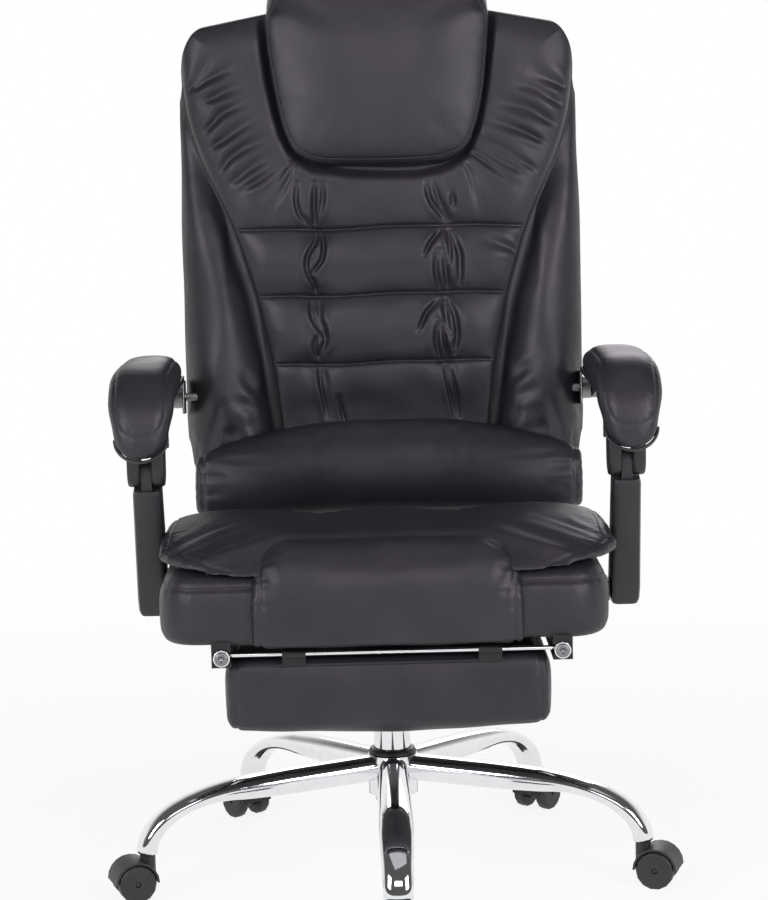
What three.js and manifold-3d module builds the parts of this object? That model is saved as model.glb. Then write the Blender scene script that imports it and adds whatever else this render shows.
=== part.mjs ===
// A reclining office chair with linked armrests and a pull-out footrest.
// Millimetres, +Z up. The sitter faces -Y, so the sitter's left is +X.
// The origin is on the floor, under the axis of the gas column.
import * as THREE from 'three';
import Module from 'manifold-3d';
import { mergeVertices } from 'three/addons/utils/BufferGeometryUtils.js';

const wasm = await Module();
wasm.setup();

// Clearances
const gap = 0.3; // between pieces that rest face to face
const running = 0.6; // between pieces that turn or slide on each other
const overrun = 6; // how far a cutting tool runs past the face that it cuts

// Star base and casters
const base = {
  legs: 5, reach: 350, hubRadius: 34, hubTop: 163, hubHeight: 55, weld: 12, legDrop: 9, bendStart: 215,
  legHeight: 36, legNeckHeight: 20, legTipDepth: 27, legWidth: 38, legMiddleWidth: 45, legTipWidth: 38,
};
const caster = {
  wheelDiameter: 50, headroom: 12, wheelWidth: 16, wheelSpace: 22, wheelEdge: 2.5, trail: 20,
  fenderGap: 2, fenderWall: 3, stemRadius: 5.5, stemLength: 22, stemShoulder: 2,
  axleRadius: 3, axleCover: 2, naveRadius: 13,
};
const casterHeight = caster.wheelDiameter + caster.headroom;

// Gas column
const column = {
  radius: 25, foot: 98, top: 322, rodRadius: 14, rodFoot: 150, boreFloor: 130,
  collarHeight: 8, collarRadius: 33, collarTopRadius: 30, clipRadius: 15, clipHeight: 4,
};

// Seat: heights are above the floor, and the front is towards -Y
const seat = {
  bottom: 390.5, halfWidth: 285, front: -275, rear: 195, baseHeight: 79.5, boardThickness: 12, boardInset: 20,
};
const seatPad = {
  overhang: 7, frontOverhang: 15, rearSetback: 30, thickness: 34, tuftX: 95, tuftDepth: 10, tuftWidth: 15,
};
const seatRoll = { halfWidth: 160, frontOverhang: 28, depth: 108, rise: 30, sag: 4 };

// Lift mechanism under the seat
const mechanism = {
  plateThickness: 4, plateHalfWidth: 92, plateHalfDepth: 98, housingHalfWidth: 52, housingHalfDepth: 72,
  housingHeight: 28, socketRadius: 24, socketLength: 46.2, socketRoof: 6,
};
const heightLever = {
  setback: 20, drop: 20, rodRadius: 4, tipClearance: 16.5, eyeRadius: 7, eyeWidth: 8, pinRadius: 2.2,
  earLength: 16, earWall: 4, paddleLength: 52, paddleWidth: 24, paddleThickness: 9,
};

// Footrest slide under the seat
const slide = {
  inset: 69, drop: 30.5, tubeRadius: 9.5, frontOverhang: 6, tubeLength: 351, barRadius: 6, barSetback: 131,
  guideSetback: 1, guideLength: 250, guideWall: 3, guideLip: 12, slotHalfHeight: 7,
  plugRadius: 10.8, plugLength: 5,
};
const footrest = {
  sideClearance: 2.5, depth: 195, thickness: 82, drop: 16, rodRadius: 3, rodSetback: 16, frontOverhang: 5,
  plateThickness: 3, plateHalfWidth: 150, plateDepth: 60, plateSetback: 3,
  knuckleRadius: 6.5, knuckleX: 125, knuckleLength: 30,
};

// Recline hinge, and the parallelogram that carries the armrests
const lean = THREE.MathUtils.degToRad(6);
const linkage = {
  hingeSetback: 95, hingeHeight: 64.5, spanLength: 360, spanHeight: 57, armHeight: 180, armDepth: 50,
};
const hinge = {
  inset: 47, thickness: 5, pinRadius: 6, eyeRadius: 15, armDepth: 22, armLength: 170, flangeWidth: 28,
  backPlateTop: 205, backPlateHalfDepth: 14, branchRadius: 9,
};
const reclineLever = {
  offset: 14, thickness: 6, length: 72, eyeRadius: 13, width: 16, setback: 14, knobRadius: 8, knobLength: 24,
};

// Armrests
const arm = {
  width: 85, rearWidth: 64, rise: 144, padThickness: 50, rearSetback: 40, bendSetback: 15, bendRadius: 66,
  noseDrop: 26, rimWidth: 68, rimThickness: 8, rimInset: 15, webWidth: 40, cheekRadius: 18, pillarRadius: 24,
  beamRadius: 13, beamFrontSetback: 8, beamRearSetback: 110, tailRadius: 15, tailWidth: 28,
};
const post = {
  width: 41, depth: 46, sideClearance: 2.5, footDrop: 15, shoulder: 21, tongueWidth: 14,
  eyeRadius: 15, pinRadius: 5, pinGrip: 34,
};
const armBracket = { sideClearance: 0.9, width: 40, thickness: 5, tabThickness: 4, tabDrop: 13, tabRise: 14 };
const armStud = {
  pinRadius: 6, collarRadius: 16, headRadius: 10, headThickness: 4, plateThickness: 3, plateHalf: 24,
};

// Backrest, in its own leaning frame: zb runs up the back from the hinge and yb runs to the rear
const back = {
  overhang: 1, foot: 18, height: 688, frontDepth: 90, rearDepth: 33, shellInset: 8,
  boardThickness: 12, boardInset: 4.4, boardFootInset: 22, boardTopInset: 66,
};
const overlay = {
  thickness: 26, footRise: 48, channelFirst: 150, channelPitch: 95, channels: 3, channelDepth: 10,
  channelWidth: 8, tuftX: 93, tuftWidth: 9, tuftDepth: 12, tuftHeight: 414,
};
const lumbar = { inset: 9, footRise: 2, sideHeight: 58, archRise: 42, bulge: 34 };
const headrest = { halfWidth: 155, drop: 212, rise: 62, depth: 68, overhang: 8, lift: 10 };

// Places across the chair, from its middle to the sitter's left
const padHalfWidth = seat.halfWidth + seatPad.overhang;
const postInner = padHalfWidth + post.sideClearance;
const armX = postInner + post.width / 2;
const slideX = seat.halfWidth - slide.inset;
const hingeX = seat.halfWidth - hinge.inset;
const backPlateX = hingeX - running - hinge.thickness;
const leverX = hingeX + reclineLever.offset;

// Heights and depths that several pieces share
const seatTop = seat.bottom + seat.baseHeight;
const slideFront = seat.front - slide.frontOverhang;
const backTop = back.foot + back.height;

// Materials
const leather = new THREE.MeshStandardMaterial({ color: 0x242326, roughness: 0.48, metalness: 0 });
const chrome = new THREE.MeshStandardMaterial({ color: 0xd9dadd, roughness: 0.08, metalness: 1 });
const steel = new THREE.MeshStandardMaterial({ color: 0x1b1b1d, roughness: 0.45, metalness: 0.4 });
const zinc = new THREE.MeshStandardMaterial({ color: 0xa9acb0, roughness: 0.3, metalness: 1 });
const plastic = new THREE.MeshStandardMaterial({ color: 0x1d1c1f, roughness: 0.55, metalness: 0 });
const plywood = new THREE.MeshStandardMaterial({ color: 0xb98f5c, roughness: 0.75, metalness: 0 });

// Solids and shapes

// The geometry with its corners only, three to a face.
function bareOf(geometry) {
  const faces = geometry.index ? geometry.toNonIndexed() : geometry;
  return new THREE.BufferGeometry().setAttribute('position', faces.getAttribute('position'));
}

function solidOf(geometry) {
  const merged = mergeVertices(bareOf(geometry), 1e-4);
  return new wasm.Manifold(new wasm.Mesh({
    numProp: 3,
    vertProperties: merged.attributes.position.array,
    triVerts: new Uint32Array(merged.index.array),
  }));
}

function geometryOf(solid) {
  const mesh = solid.getMesh();
  const geometry = new THREE.BufferGeometry();
  geometry.setAttribute('position', new THREE.BufferAttribute(Float32Array.from(mesh.vertProperties), 3));
  geometry.setIndex(new THREE.BufferAttribute(Uint32Array.from(mesh.triVerts), 1));
  return geometry.toNonIndexed();
}

function join(first, ...others) {
  return geometryOf(others.reduce((sum, other) => sum.add(solidOf(other)), solidOf(first)));
}

function cut(body, ...tools) {
  return geometryOf(tools.reduce((rest, tool) => rest.subtract(solidOf(tool)), solidOf(body)));
}

function block(x0, x1, y0, y1, z0, z1) {
  return new THREE.BoxGeometry(x1 - x0, y1 - y0, z1 - z0)
    .translate((x0 + x1) / 2, (y0 + y1) / 2, (z0 + z1) / 2);
}

// A cylinder along an axis, from one coordinate on it to another.
// at holds the other two coordinates, in x, y, z order.
function rod(axis, radius, from, to, at, sides = 16) {
  const geometry = new THREE.CylinderGeometry(radius, radius, to - from, sides);
  const middle = (from + to) / 2;
  if (axis === 'x') return geometry.rotateZ(-Math.PI / 2).translate(middle, at[0], at[1]);
  if (axis === 'y') return geometry.translate(at[0], middle, at[1]);
  return geometry.rotateX(Math.PI / 2).translate(at[0], at[1], middle);
}

// A body of revolution about Z from a closed profile of [radius, height] points.
function turned(profile, sides = 24) {
  const points = profile.map(([radius, height]) => new THREE.Vector2(radius, height));
  return new THREE.LatheGeometry(points, sides).rotateX(Math.PI / 2);
}

// A flat outline in the YZ plane, given as a Shape of (y, z), made into a plate from x0 to x1.
function plate(shape, x0, x1, curveSegments = 5) {
  const geometry = new THREE.ExtrudeGeometry(shape, { depth: x1 - x0, bevelEnabled: false, curveSegments });
  return geometry.rotateX(Math.PI / 2).rotateZ(Math.PI / 2).translate(x0, 0, 0);
}

// A closed skin through rings of equal length, each an array of points that runs the same way round.
function loft(rings) {
  const count = rings[0].length;
  const points = rings.flat();
  const faces = [];
  for (let i = 0; i < rings.length - 1; i++) {
    for (let j = 0; j < count; j++) {
      const a = i * count + j;
      const b = i * count + ((j + 1) % count);
      faces.push(a, b, b + count, a, b + count, a + count);
    }
  }
  for (const [start, turn] of [[0, 1], [(rings.length - 1) * count, -1]]) {
    const middle = new THREE.Vector3();
    for (let j = 0; j < count; j++) middle.addScaledVector(points[start + j], 1 / count);
    points.push(middle);
    for (let j = 0; j < count; j++) {
      const pair = [start + j, start + ((j + 1) % count)];
      faces.push(points.length - 1, pair[turn > 0 ? 1 : 0], pair[turn > 0 ? 0 : 1]);
    }
  }
  const geometry = new THREE.BufferGeometry();
  geometry.setAttribute('position', new THREE.Float32BufferAttribute(points.flatMap((p) => p.toArray()), 3));
  geometry.setIndex(faces);
  const flat = geometry.toNonIndexed();
  return solidOf(flat).volume() < 0 ? loft([...rings].reverse()) : flat;
}

// How much of the full size is left at a share t, from -1 to 1, of a form whose edges are rounded by a power.
function roundOff(t, power) {
  return Math.pow(Math.max(0, 1 - Math.pow(Math.abs(t), power)), 1 / power);
}

function signedPower(value, power) {
  return Math.sign(value) * Math.pow(Math.abs(value), power);
}

// The points of a rounded section, as [across, up] shares from -1 to 1.
function roundedSection(sides, power) {
  return Array.from({ length: sides }, (_, i) => {
    const angle = (2 * Math.PI * (i + 0.5)) / sides;
    return [signedPower(Math.cos(angle), 2 / power), signedPower(Math.sin(angle), 2 / power)];
  });
}

// Stations along a cushion, as shares from -1 to 1, close together at the ends.
function endStations(middle) {
  const ends = [0.995, 0.97, 0.9];
  const innerShare = 0.75;
  const inner = Array.from({ length: middle }, (_, i) => innerShare * ((2 * i) / (middle - 1) - 1));
  return [...ends.map((t) => -t), ...inner, ...ends.slice().reverse()];
}

// A block with rounded edges between two corners, lofted along Y.
function cushion(low, high, { sides = 20, stations = endStations(5), section = 5, plan = 6 } = {}) {
  const middle = low.clone().add(high).multiplyScalar(1 / 2);
  const half = high.clone().sub(low).multiplyScalar(1 / 2);
  const outline = roundedSection(sides, section);
  return loft(stations.map((t) => outline.map(([across, up]) => {
    const left = roundOff(t, plan);
    return new THREE.Vector3(across * left, t, up * left).multiply(half).add(middle);
  })));
}

// A smooth function through [place, value] pairs.
function curveOf(pairs) {
  return (s) => {
    const next = Math.max(1, pairs.findIndex(([place]) => s < place));
    const at = s >= pairs[pairs.length - 1][0] ? pairs.length - 1 : next;
    const [from, to] = [pairs[at - 1], pairs[at]];
    const t = THREE.MathUtils.clamp((s - from[0]) / (to[0] - from[0]), 0, 1);
    return THREE.MathUtils.lerp(from[1], to[1], t * (1 + t * (3 - 2 * t)) / 2);
  };
}

function bell(distance, width) {
  return Math.exp(-Math.pow(distance / width, 2));
}

// Assembly: each piece is a named mesh in the group that carries it

const chair = new THREE.Group();

function add(parent, name, geometry, material) {
  geometry.computeVertexNormals();
  const mesh = new THREE.Mesh(geometry, material);
  mesh.name = name;
  parent.add(mesh);
  return mesh;
}

// The same piece on both sides of the chair; side is 1 on the sitter's left and -1 on the right.
function onBothSides(make) {
  make(1, 'left');
  make(-1, 'right');
}

// Turns a geometry made for the left side into the one for the given side.
function mirrored(geometry, side) {
  if (side > 0) return geometry;
  const from = bareOf(geometry).getAttribute('position');
  const position = from.clone();
  for (let i = 0; i < position.count; i += 3) {
    for (const [to, at] of [[i, i], [i + 1, i + 2], [i + 2, i + 1]]) {
      position.setXYZ(to, -from.getX(at), from.getY(at), from.getZ(at));
    }
  }
  return new THREE.BufferGeometry().setAttribute('position', position);
}

// Casters

const wheelRadius = caster.wheelDiameter / 2;
const wheelSides = 14;

function casterHood() {
  const webHalf = caster.wheelSpace / 2 - running;
  const inner = wheelRadius + caster.fenderGap;
  const outer = inner + caster.fenderWall;
  const halfSpan = caster.wheelSpace / 2 + caster.wheelWidth - caster.axleCover;
  const axleAt = [caster.trail, wheelRadius];
  const round = 20;
  // The web and the fender start as whole discs and lose what is below the axle.
  const below = block(-outer, caster.trail + outer + overrun, -outer, outer, -outer, wheelRadius);
  const web = cut(rod('y', outer, -webHalf, webHalf, axleAt, round), below);
  const fender = cut(
    rod('y', outer, -halfSpan, halfSpan, axleAt, round),
    rod('y', inner, -halfSpan - overrun, halfSpan + overrun, axleAt, round),
    below,
  );
  const boss = rod('z', webHalf, wheelRadius, casterHeight - caster.stemShoulder, [0, 0], round / 2);
  const stem = rod('z', caster.stemRadius, wheelRadius, casterHeight + caster.stemLength, [0, 0], 10);
  const nave = rod('y', caster.naveRadius, -webHalf, webHalf, axleAt, 12);
  const axle = rod('y', caster.axleRadius, -halfSpan, halfSpan, axleAt, 10);
  return join(web, fender, boss, stem, nave, axle);
}

function casterWheel() {
  const rim = wheelRadius / Math.cos(Math.PI / wheelSides);
  const bore = caster.axleRadius + running;
  const shape = turned([
    [bore, 0], [rim - caster.wheelEdge, 0], [rim, caster.wheelEdge],
    [rim, caster.wheelWidth - caster.wheelEdge], [rim - caster.wheelEdge, caster.wheelWidth],
    [bore, caster.wheelWidth], [bore, 0],
  ], wheelSides);
  // The axis goes from Z to Y, with a flat of the rim straight down.
  return shape.rotateZ(Math.PI / wheelSides).rotateX(-Math.PI / 2);
}

function legAngle(index) {
  return -Math.PI / 2 + (2 * Math.PI * index) / base.legs;
}

for (let i = 0; i < base.legs; i++) {
  const holder = new THREE.Group();
  holder.rotation.z = legAngle(i);
  holder.position.set(base.reach * Math.cos(legAngle(i)), base.reach * Math.sin(legAngle(i)), 0);
  chair.add(holder);
  add(holder, `caster_${i + 1}_hood`, casterHood(), plastic);
  for (const [side, label] of [[1, 'left'], [-1, 'right']]) {
    const wheel = add(holder, `caster_${i + 1}_wheel_${label}`, casterWheel(), plastic);
    wheel.rotation.z = side > 0 ? 0 : Math.PI;
    wheel.position.set(caster.trail, side * (caster.wheelSpace / 2), wheelRadius);
  }
}

// Star base: a hub and welded legs that arch down to the casters

const hubSides = 30;
const legStraightShare = 0.4;
const legEdgePower = 2.6;
const smallShare = 1e-3;

// The middle line of a leg, as (distance from the column, height).
// It is straight, then makes a quarter turn down to the caster.
function legPath(t) {
  const start = new THREE.Vector2(base.hubRadius - base.weld, base.hubTop - base.legHeight / 2);
  const bend = new THREE.Vector2(base.bendStart, start.y - base.legDrop);
  if (t < legStraightShare) return start.lerp(bend, t / legStraightShare);
  const turn = ((t - legStraightShare) / (1 - legStraightShare)) * (Math.PI / 2);
  return new THREE.Vector2(
    bend.x + (base.reach - bend.x) * Math.sin(turn),
    casterHeight + (bend.y - casterHeight) * Math.cos(turn),
  );
}

function leg() {
  const stationShares = [0, 0.2, 0.4, 0.55, 0.68, 0.8, 0.9, 1];
  const [topEndShare, neckShare, middleEndShare] = [0.3, 0.58, 0.6];
  const heightAt = curveOf([
    [0, base.legHeight], [topEndShare, base.legHeight],
    [neckShare, base.legNeckHeight], [1, base.legTipDepth],
  ]);
  const widthAt = curveOf([
    [0, base.legWidth], [topEndShare, base.legMiddleWidth],
    [middleEndShare, base.legMiddleWidth], [1, base.legTipWidth],
  ]);
  const outline = roundedSection(12, legEdgePower);
  const rings = stationShares.map((t) => {
    const here = legPath(t);
    const along = t === 1 ? new THREE.Vector2(0, -1) : legPath(t + smallShare).sub(here).normalize();
    const halfWidth = widthAt(t) / 2;
    const halfHeight = heightAt(t) / 2;
    return outline.map(([across, up]) => new THREE.Vector3(
      here.x - along.y * halfHeight * up, halfWidth * across, here.y + along.x * halfHeight * up,
    ));
  });
  const hubRoom = rod('z', base.hubRadius + gap, 0, base.hubTop + overrun, [0, 0], hubSides);
  const stemTop = casterHeight + caster.stemLength + gap;
  const socket = rod('z', caster.stemRadius + gap, casterHeight - overrun, stemTop, [base.reach, 0], 10);
  return cut(loft(rings), hubRoom, socket);
}

for (let i = 0; i < base.legs; i++) {
  add(chair, `base_leg_${i + 1}`, leg(), chrome).rotation.z = legAngle(i);
}
const hubFoot = base.hubTop - base.hubHeight;
add(chair, 'base_hub', turned([
  [column.radius + gap, hubFoot], [base.hubRadius, hubFoot], [base.hubRadius, base.hubTop],
  [column.radius + gap, base.hubTop], [column.radius + gap, hubFoot],
], hubSides), chrome);

// Gas column

const collarFoot = base.hubTop + gap;
const collarTop = collarFoot + column.collarHeight;
add(chair, 'column_collar', turned([
  [column.radius + gap, collarFoot], [column.collarRadius, collarFoot],
  [column.collarRadius, collarFoot + column.collarHeight / 2], [column.collarTopRadius, collarTop],
  [column.radius + gap, collarTop], [column.radius + gap, collarFoot],
]), plastic);
add(chair, 'gas_cylinder', turned([
  [0, column.foot], [column.radius, column.foot], [column.radius, column.top],
  [column.rodRadius + running, column.top], [column.rodRadius + running, column.boreFloor],
  [0, column.boreFloor],
]), chrome);
const clipTop = column.foot - gap;
const clipFoot = clipTop - column.clipHeight;
add(chair, 'cylinder_clip', turned([
  [0, clipFoot], [column.clipRadius, clipFoot], [column.clipRadius, clipTop], [0, clipTop],
], 16), steel);

const plateTop = seat.bottom - gap;
const plateFoot = plateTop - mechanism.plateThickness;
const socketRoofZ = plateTop - mechanism.socketRoof;
const socketFoot = plateFoot - mechanism.socketLength;
add(chair, 'gas_rod', turned([
  [0, column.rodFoot], [column.rodRadius, column.rodFoot],
  [column.rodRadius, socketRoofZ - gap], [0, socketRoofZ - gap],
]), zinc);

// Lift mechanism and its lever, which pivots in an ear on the housing's right side

const leverPivot = {
  x: -mechanism.housingHalfWidth - heightLever.earLength / 2,
  y: heightLever.setback,
  z: plateFoot - heightLever.drop,
};

function liftMechanism() {
  const {
    plateHalfWidth, plateHalfDepth, housingHalfWidth: halfWidth, housingHalfDepth: halfDepth,
  } = mechanism;
  const slotHalf = heightLever.eyeWidth / 2 + running;
  const earHalf = slotHalf + heightLever.earWall;
  const earEnd = halfWidth + heightLever.earLength;
  const room = heightLever.eyeRadius + running;
  const { x, y, z } = leverPivot;
  const body = join(
    block(-plateHalfWidth, plateHalfWidth, -plateHalfDepth, plateHalfDepth, plateFoot, plateTop),
    block(-halfWidth, halfWidth, -halfDepth, halfDepth, plateFoot - mechanism.housingHeight, plateFoot + gap),
    rod('z', mechanism.socketRadius, socketFoot, plateFoot, [0, 0], 24),
    block(-earEnd, -halfWidth + gap, y - earHalf, y + earHalf, z - room, plateFoot),
  );
  const bore = rod('z', column.rodRadius + gap, socketFoot - overrun, socketRoofZ, [0, 0], 24);
  const slot = block(-earEnd - overrun, -halfWidth, y - slotHalf, y + slotHalf, z - room - overrun, z + room);
  const pin = rod('y', heightLever.pinRadius, y - earHalf, y + earHalf, [x, z], 10);
  return join(cut(body, bore, slot), pin);
}

function liftLever() {
  const { x, y, z } = leverPivot;
  const { eyeWidth, rodRadius, paddleWidth, paddleThickness } = heightLever;
  const tip = slideX - slide.tubeRadius - heightLever.tipClearance;
  const reach = tip - rodRadius;
  const eye = rod('y', heightLever.eyeRadius, y - eyeWidth / 2, y + eyeWidth / 2, [x, z], 14);
  const bar = rod('x', rodRadius, -reach, x, [y, z], 10);
  const paddle = block(
    -tip, -reach + heightLever.paddleLength,
    y - paddleWidth / 2, y + paddleWidth / 2,
    z - paddleThickness / 2, z + paddleThickness / 2,
  );
  const hole = rod('y', heightLever.pinRadius + gap, y - eyeWidth, y + eyeWidth, [x, z], 10);
  return cut(join(eye, bar, paddle), hole);
}

add(chair, 'lift_mechanism', liftMechanism(), steel);
add(chair, 'height_lever', liftLever(), plastic);

// Seat: a plywood board in the underside of the base cushion, a soft pad on top and a roll down the front

const boardTop = seat.bottom + seat.boardThickness;
const board = {
  halfWidth: seat.halfWidth - seat.boardInset,
  front: seat.front + 2 * seat.boardInset,
  rear: seat.rear - seat.boardInset,
};
add(chair, 'seat_board',
  block(-board.halfWidth, board.halfWidth, board.front, board.rear, seat.bottom, boardTop), plywood);

function rollForm(grow) {
  const half = seatRoll.halfWidth + grow;
  const front = seat.front - seatRoll.frontOverhang;
  return cushion(
    new THREE.Vector3(-half, front - grow, seat.bottom - seatRoll.sag - grow),
    new THREE.Vector3(half, front + seatRoll.depth + grow, seatTop + seatRoll.rise + grow),
    { sides: 20, section: 7, plan: 3.6, stations: endStations(5) },
  );
}

const baseCushion = cushion(
  new THREE.Vector3(-seat.halfWidth, seat.front, seat.bottom),
  new THREE.Vector3(seat.halfWidth, seat.rear, seatTop),
  { sides: 20, section: 4.5, plan: 7 },
);
const boardRoom = block(
  -board.halfWidth - gap, board.halfWidth + gap, board.front - gap, board.rear + gap,
  seat.bottom - overrun, boardTop + gap,
);
add(chair, 'seat_base_cushion', cut(baseCushion, boardRoom, rollForm(2 * gap)), leather);

function padTop(point) {
  const low = seatTop + gap;
  if (point.z <= low + gap) return point;
  const share = (point.z - low) / seatPad.thickness;
  const { tuftX, tuftWidth } = seatPad;
  const tufts = bell(point.x - tuftX, tuftWidth) + bell(point.x + tuftX, tuftWidth);
  point.z -= share * seatPad.tuftDepth * tufts;
  return point;
}

// The pad is lofted along X, so that its stations fall on the two lines of tufts.
function seatPadForm() {
  const fullShare = 0.998;
  const sideShares = [1, 0.985, 0.93, 0.8, 0.6, 0.46].map((share) => share * fullShare);
  const tuftShares = [1.5, 0.6, 0, -0.6, -1.5];
  const middleShare = 0.1;
  const waistShare = 0.72;
  const aroundTuft = tuftShares.map((share) => (seatPad.tuftX + share * seatPad.tuftWidth) / padHalfWidth);
  const right = [...sideShares, ...aroundTuft, middleShare];
  const shares = [...right.map((s) => -s), ...right.slice().reverse()];
  const front = seat.front - seatPad.frontOverhang;
  const rear = seat.rear - seatPad.rearSetback;
  const middleY = (front + rear) / 2;
  const halfY = (rear - front) / 2;
  const low = seatTop + gap;
  const steps = 12;
  const outline = Array.from({ length: steps + 1 }, (_, i) => (Math.PI * i) / steps);
  return loft(shares.map((s) => outline.map((angle) => {
    const left = roundOff(s, 4);
    const along = signedPower(Math.cos(angle), 0.55) * Math.max(left, waistShare);
    const rise = seatPad.thickness * Math.pow(Math.sin(angle), 0.5) * left;
    return padTop(new THREE.Vector3(s * padHalfWidth, middleY + halfY * along, low + rise));
  })));
}
add(chair, 'seat_top_pad', cut(seatPadForm(), rollForm(2 * gap)), leather);
add(chair, 'seat_front_roll', cut(rollForm(0), boardRoom), leather);

// Footrest: a frame of two tubes and a bar slides in guides, and the pad turns over on the front rod

const tubeZ = seat.bottom - slide.drop;
const tubeRoom = slide.tubeRadius + running;
const guideOuter = slideX + tubeRoom + slide.guideWall;
const rodY = slideFront + footrest.rodSetback;

onBothSides((side, label) => {
  const front = slideFront + slide.guideSetback;
  const rear = front + slide.guideLength;
  const lip = slideX - slide.guideLip;
  const slotHalf = slide.slotHalfHeight;
  const channel = cut(
    block(lip, guideOuter, front, rear, tubeZ - tubeRoom - slide.guideWall, plateTop),
    rod('y', tubeRoom, front - overrun, rear + overrun, [slideX, tubeZ], 20),
    block(lip - overrun, slideX, front - overrun, rear + overrun, tubeZ - slotHalf, tubeZ + slotHalf),
  );
  add(chair, `slide_guide_${label}`, mirrored(channel, side), steel);
  const tube = join(
    rod('y', slide.tubeRadius, slideFront, slideFront + slide.tubeLength, [slideX, tubeZ]),
    rod('y', slide.plugRadius, slideFront - slide.plugLength, slideFront, [slideX, tubeZ]),
  );
  add(chair, `slide_tube_${label}`, mirrored(tube, side), chrome);
});
const barEnd = slideX - slide.tubeRadius - gap;
const barAt = [slideFront + slide.barSetback, tubeZ];
add(chair, 'slide_cross_bar', rod('x', slide.barRadius, -barEnd, barEnd, barAt, 12), chrome);
add(chair, 'footrest_rod', rod('x', footrest.rodRadius, -barEnd, barEnd, [rodY, tubeZ], 10), chrome);

const padTopZ = tubeZ - footrest.drop;
const padFront = rodY - footrest.frontOverhang;

function footrestHinge() {
  const plateFront = padFront + footrest.plateSetback;
  const plateFoot = padTopZ + gap;
  const pieces = [-1, 1].flatMap((side) => {
    const x0 = side * footrest.knuckleX - footrest.knuckleLength / 2;
    const x1 = x0 + footrest.knuckleLength;
    return [
      rod('x', footrest.knuckleRadius, x0, x1, [rodY, tubeZ], 14),
      block(x0, x1, rodY - footrest.plateThickness, rodY + footrest.plateThickness, plateFoot, tubeZ),
    ];
  });
  const half = footrest.plateHalfWidth;
  const flange = block(
    -half, half, plateFront, plateFront + footrest.plateDepth, plateFoot, plateFoot + footrest.plateThickness,
  );
  const bore = rod('x', footrest.rodRadius + running, -half, half, [rodY, tubeZ], 10);
  return cut(join(flange, ...pieces), bore);
}

add(chair, 'footrest_hinge', footrestHinge(), steel);
const footrestHalfWidth = slideX - slide.tubeRadius - footrest.sideClearance;
add(chair, 'footrest_pad', cushion(
  new THREE.Vector3(-footrestHalfWidth, padFront, padTopZ - footrest.thickness),
  new THREE.Vector3(footrestHalfWidth, padFront + footrest.depth, padTopZ),
  { sides: 20, section: 9, plan: 9 },
), leather);

// The four pivots of the armrest linkage, as (y, z)

// They make a parallelogram, so the armrest stays level as the back reclines.
const hingePivot = new THREE.Vector2(seat.rear + linkage.hingeSetback, seat.bottom + linkage.hingeHeight);
const armVector = new THREE.Vector2(-linkage.armDepth, linkage.armHeight);
const backPivot = hingePivot.clone().add(armVector);
const seatPivot = hingePivot.clone().sub(new THREE.Vector2(linkage.spanLength, linkage.spanHeight));
const kneePivot = seatPivot.clone().add(armVector);

// Outline of a strip with round ends between two pivots, in the YZ plane.
function stripShape(from, to, fromRadius, toRadius) {
  const along = Math.atan2(to.y - from.y, to.x - from.x);
  const shape = new THREE.Shape();
  shape.absarc(from.x, from.y, fromRadius, along + Math.PI / 2, along + (3 * Math.PI) / 2, false);
  shape.absarc(to.x, to.y, toRadius, along - Math.PI / 2, along + Math.PI / 2, false);
  shape.closePath();
  return shape;
}

function rectangleShape(y0, y1, z0, z1) {
  const corners = [[y0, z0], [y1, z0], [y1, z1], [y0, z1]];
  return new THREE.Shape(corners.map(([y, z]) => new THREE.Vector2(y, z)));
}

// Recline hinge: a steel angle under the seat on each side carries the pin that the back turns on

onBothSides((side, label) => {
  const x0 = hingeX;
  const x1 = hingeX + hinge.thickness;
  const footZ = plateTop - hinge.armDepth;
  const low = new THREE.Vector2(hingePivot.x, footZ + hinge.eyeRadius);
  const pinAt = hingePivot.toArray();
  const armFront = hingePivot.x - hinge.armLength;
  const seatPlate = join(
    plate(rectangleShape(armFront, hingePivot.x, footZ, plateTop), x0, x1),
    plate(stripShape(low, hingePivot, hinge.eyeRadius, hinge.eyeRadius), x0, x1),
    block(x1 - hinge.flangeWidth, x1, armFront, board.rear, plateTop - hinge.thickness, plateTop),
    rod('x', hinge.pinRadius, backPlateX - running, x1, pinAt, 12),
    rod('x', hinge.pinRadius, x0, leverX + reclineLever.thickness, pinAt, 12),
  );
  add(chair, `hinge_seat_plate_${label}`, mirrored(seatPlate, side), steel);
});

function recliningLever() {
  const x0 = leverX;
  const x1 = leverX + reclineLever.thickness;
  const end = hingePivot.clone().add(new THREE.Vector2(reclineLever.setback, -reclineLever.length));
  const arm = cut(
    plate(stripShape(hingePivot, end, reclineLever.eyeRadius, reclineLever.width / 2), x0, x1),
    rod('x', hinge.pinRadius + gap, x0 - overrun, x1 + overrun, hingePivot.toArray(), 12),
  );
  const knob = rod('x', reclineLever.knobRadius, x1 - gap, x1 + reclineLever.knobLength, end.toArray(), 12);
  return join(arm, knob);
}
add(chair, 'recline_lever', mirrored(recliningLever(), -1), plastic);

// Armrests, on both sides

const postLength = armVector.length();
const postTilt = Math.atan2(linkage.armDepth, linkage.armHeight);

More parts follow.
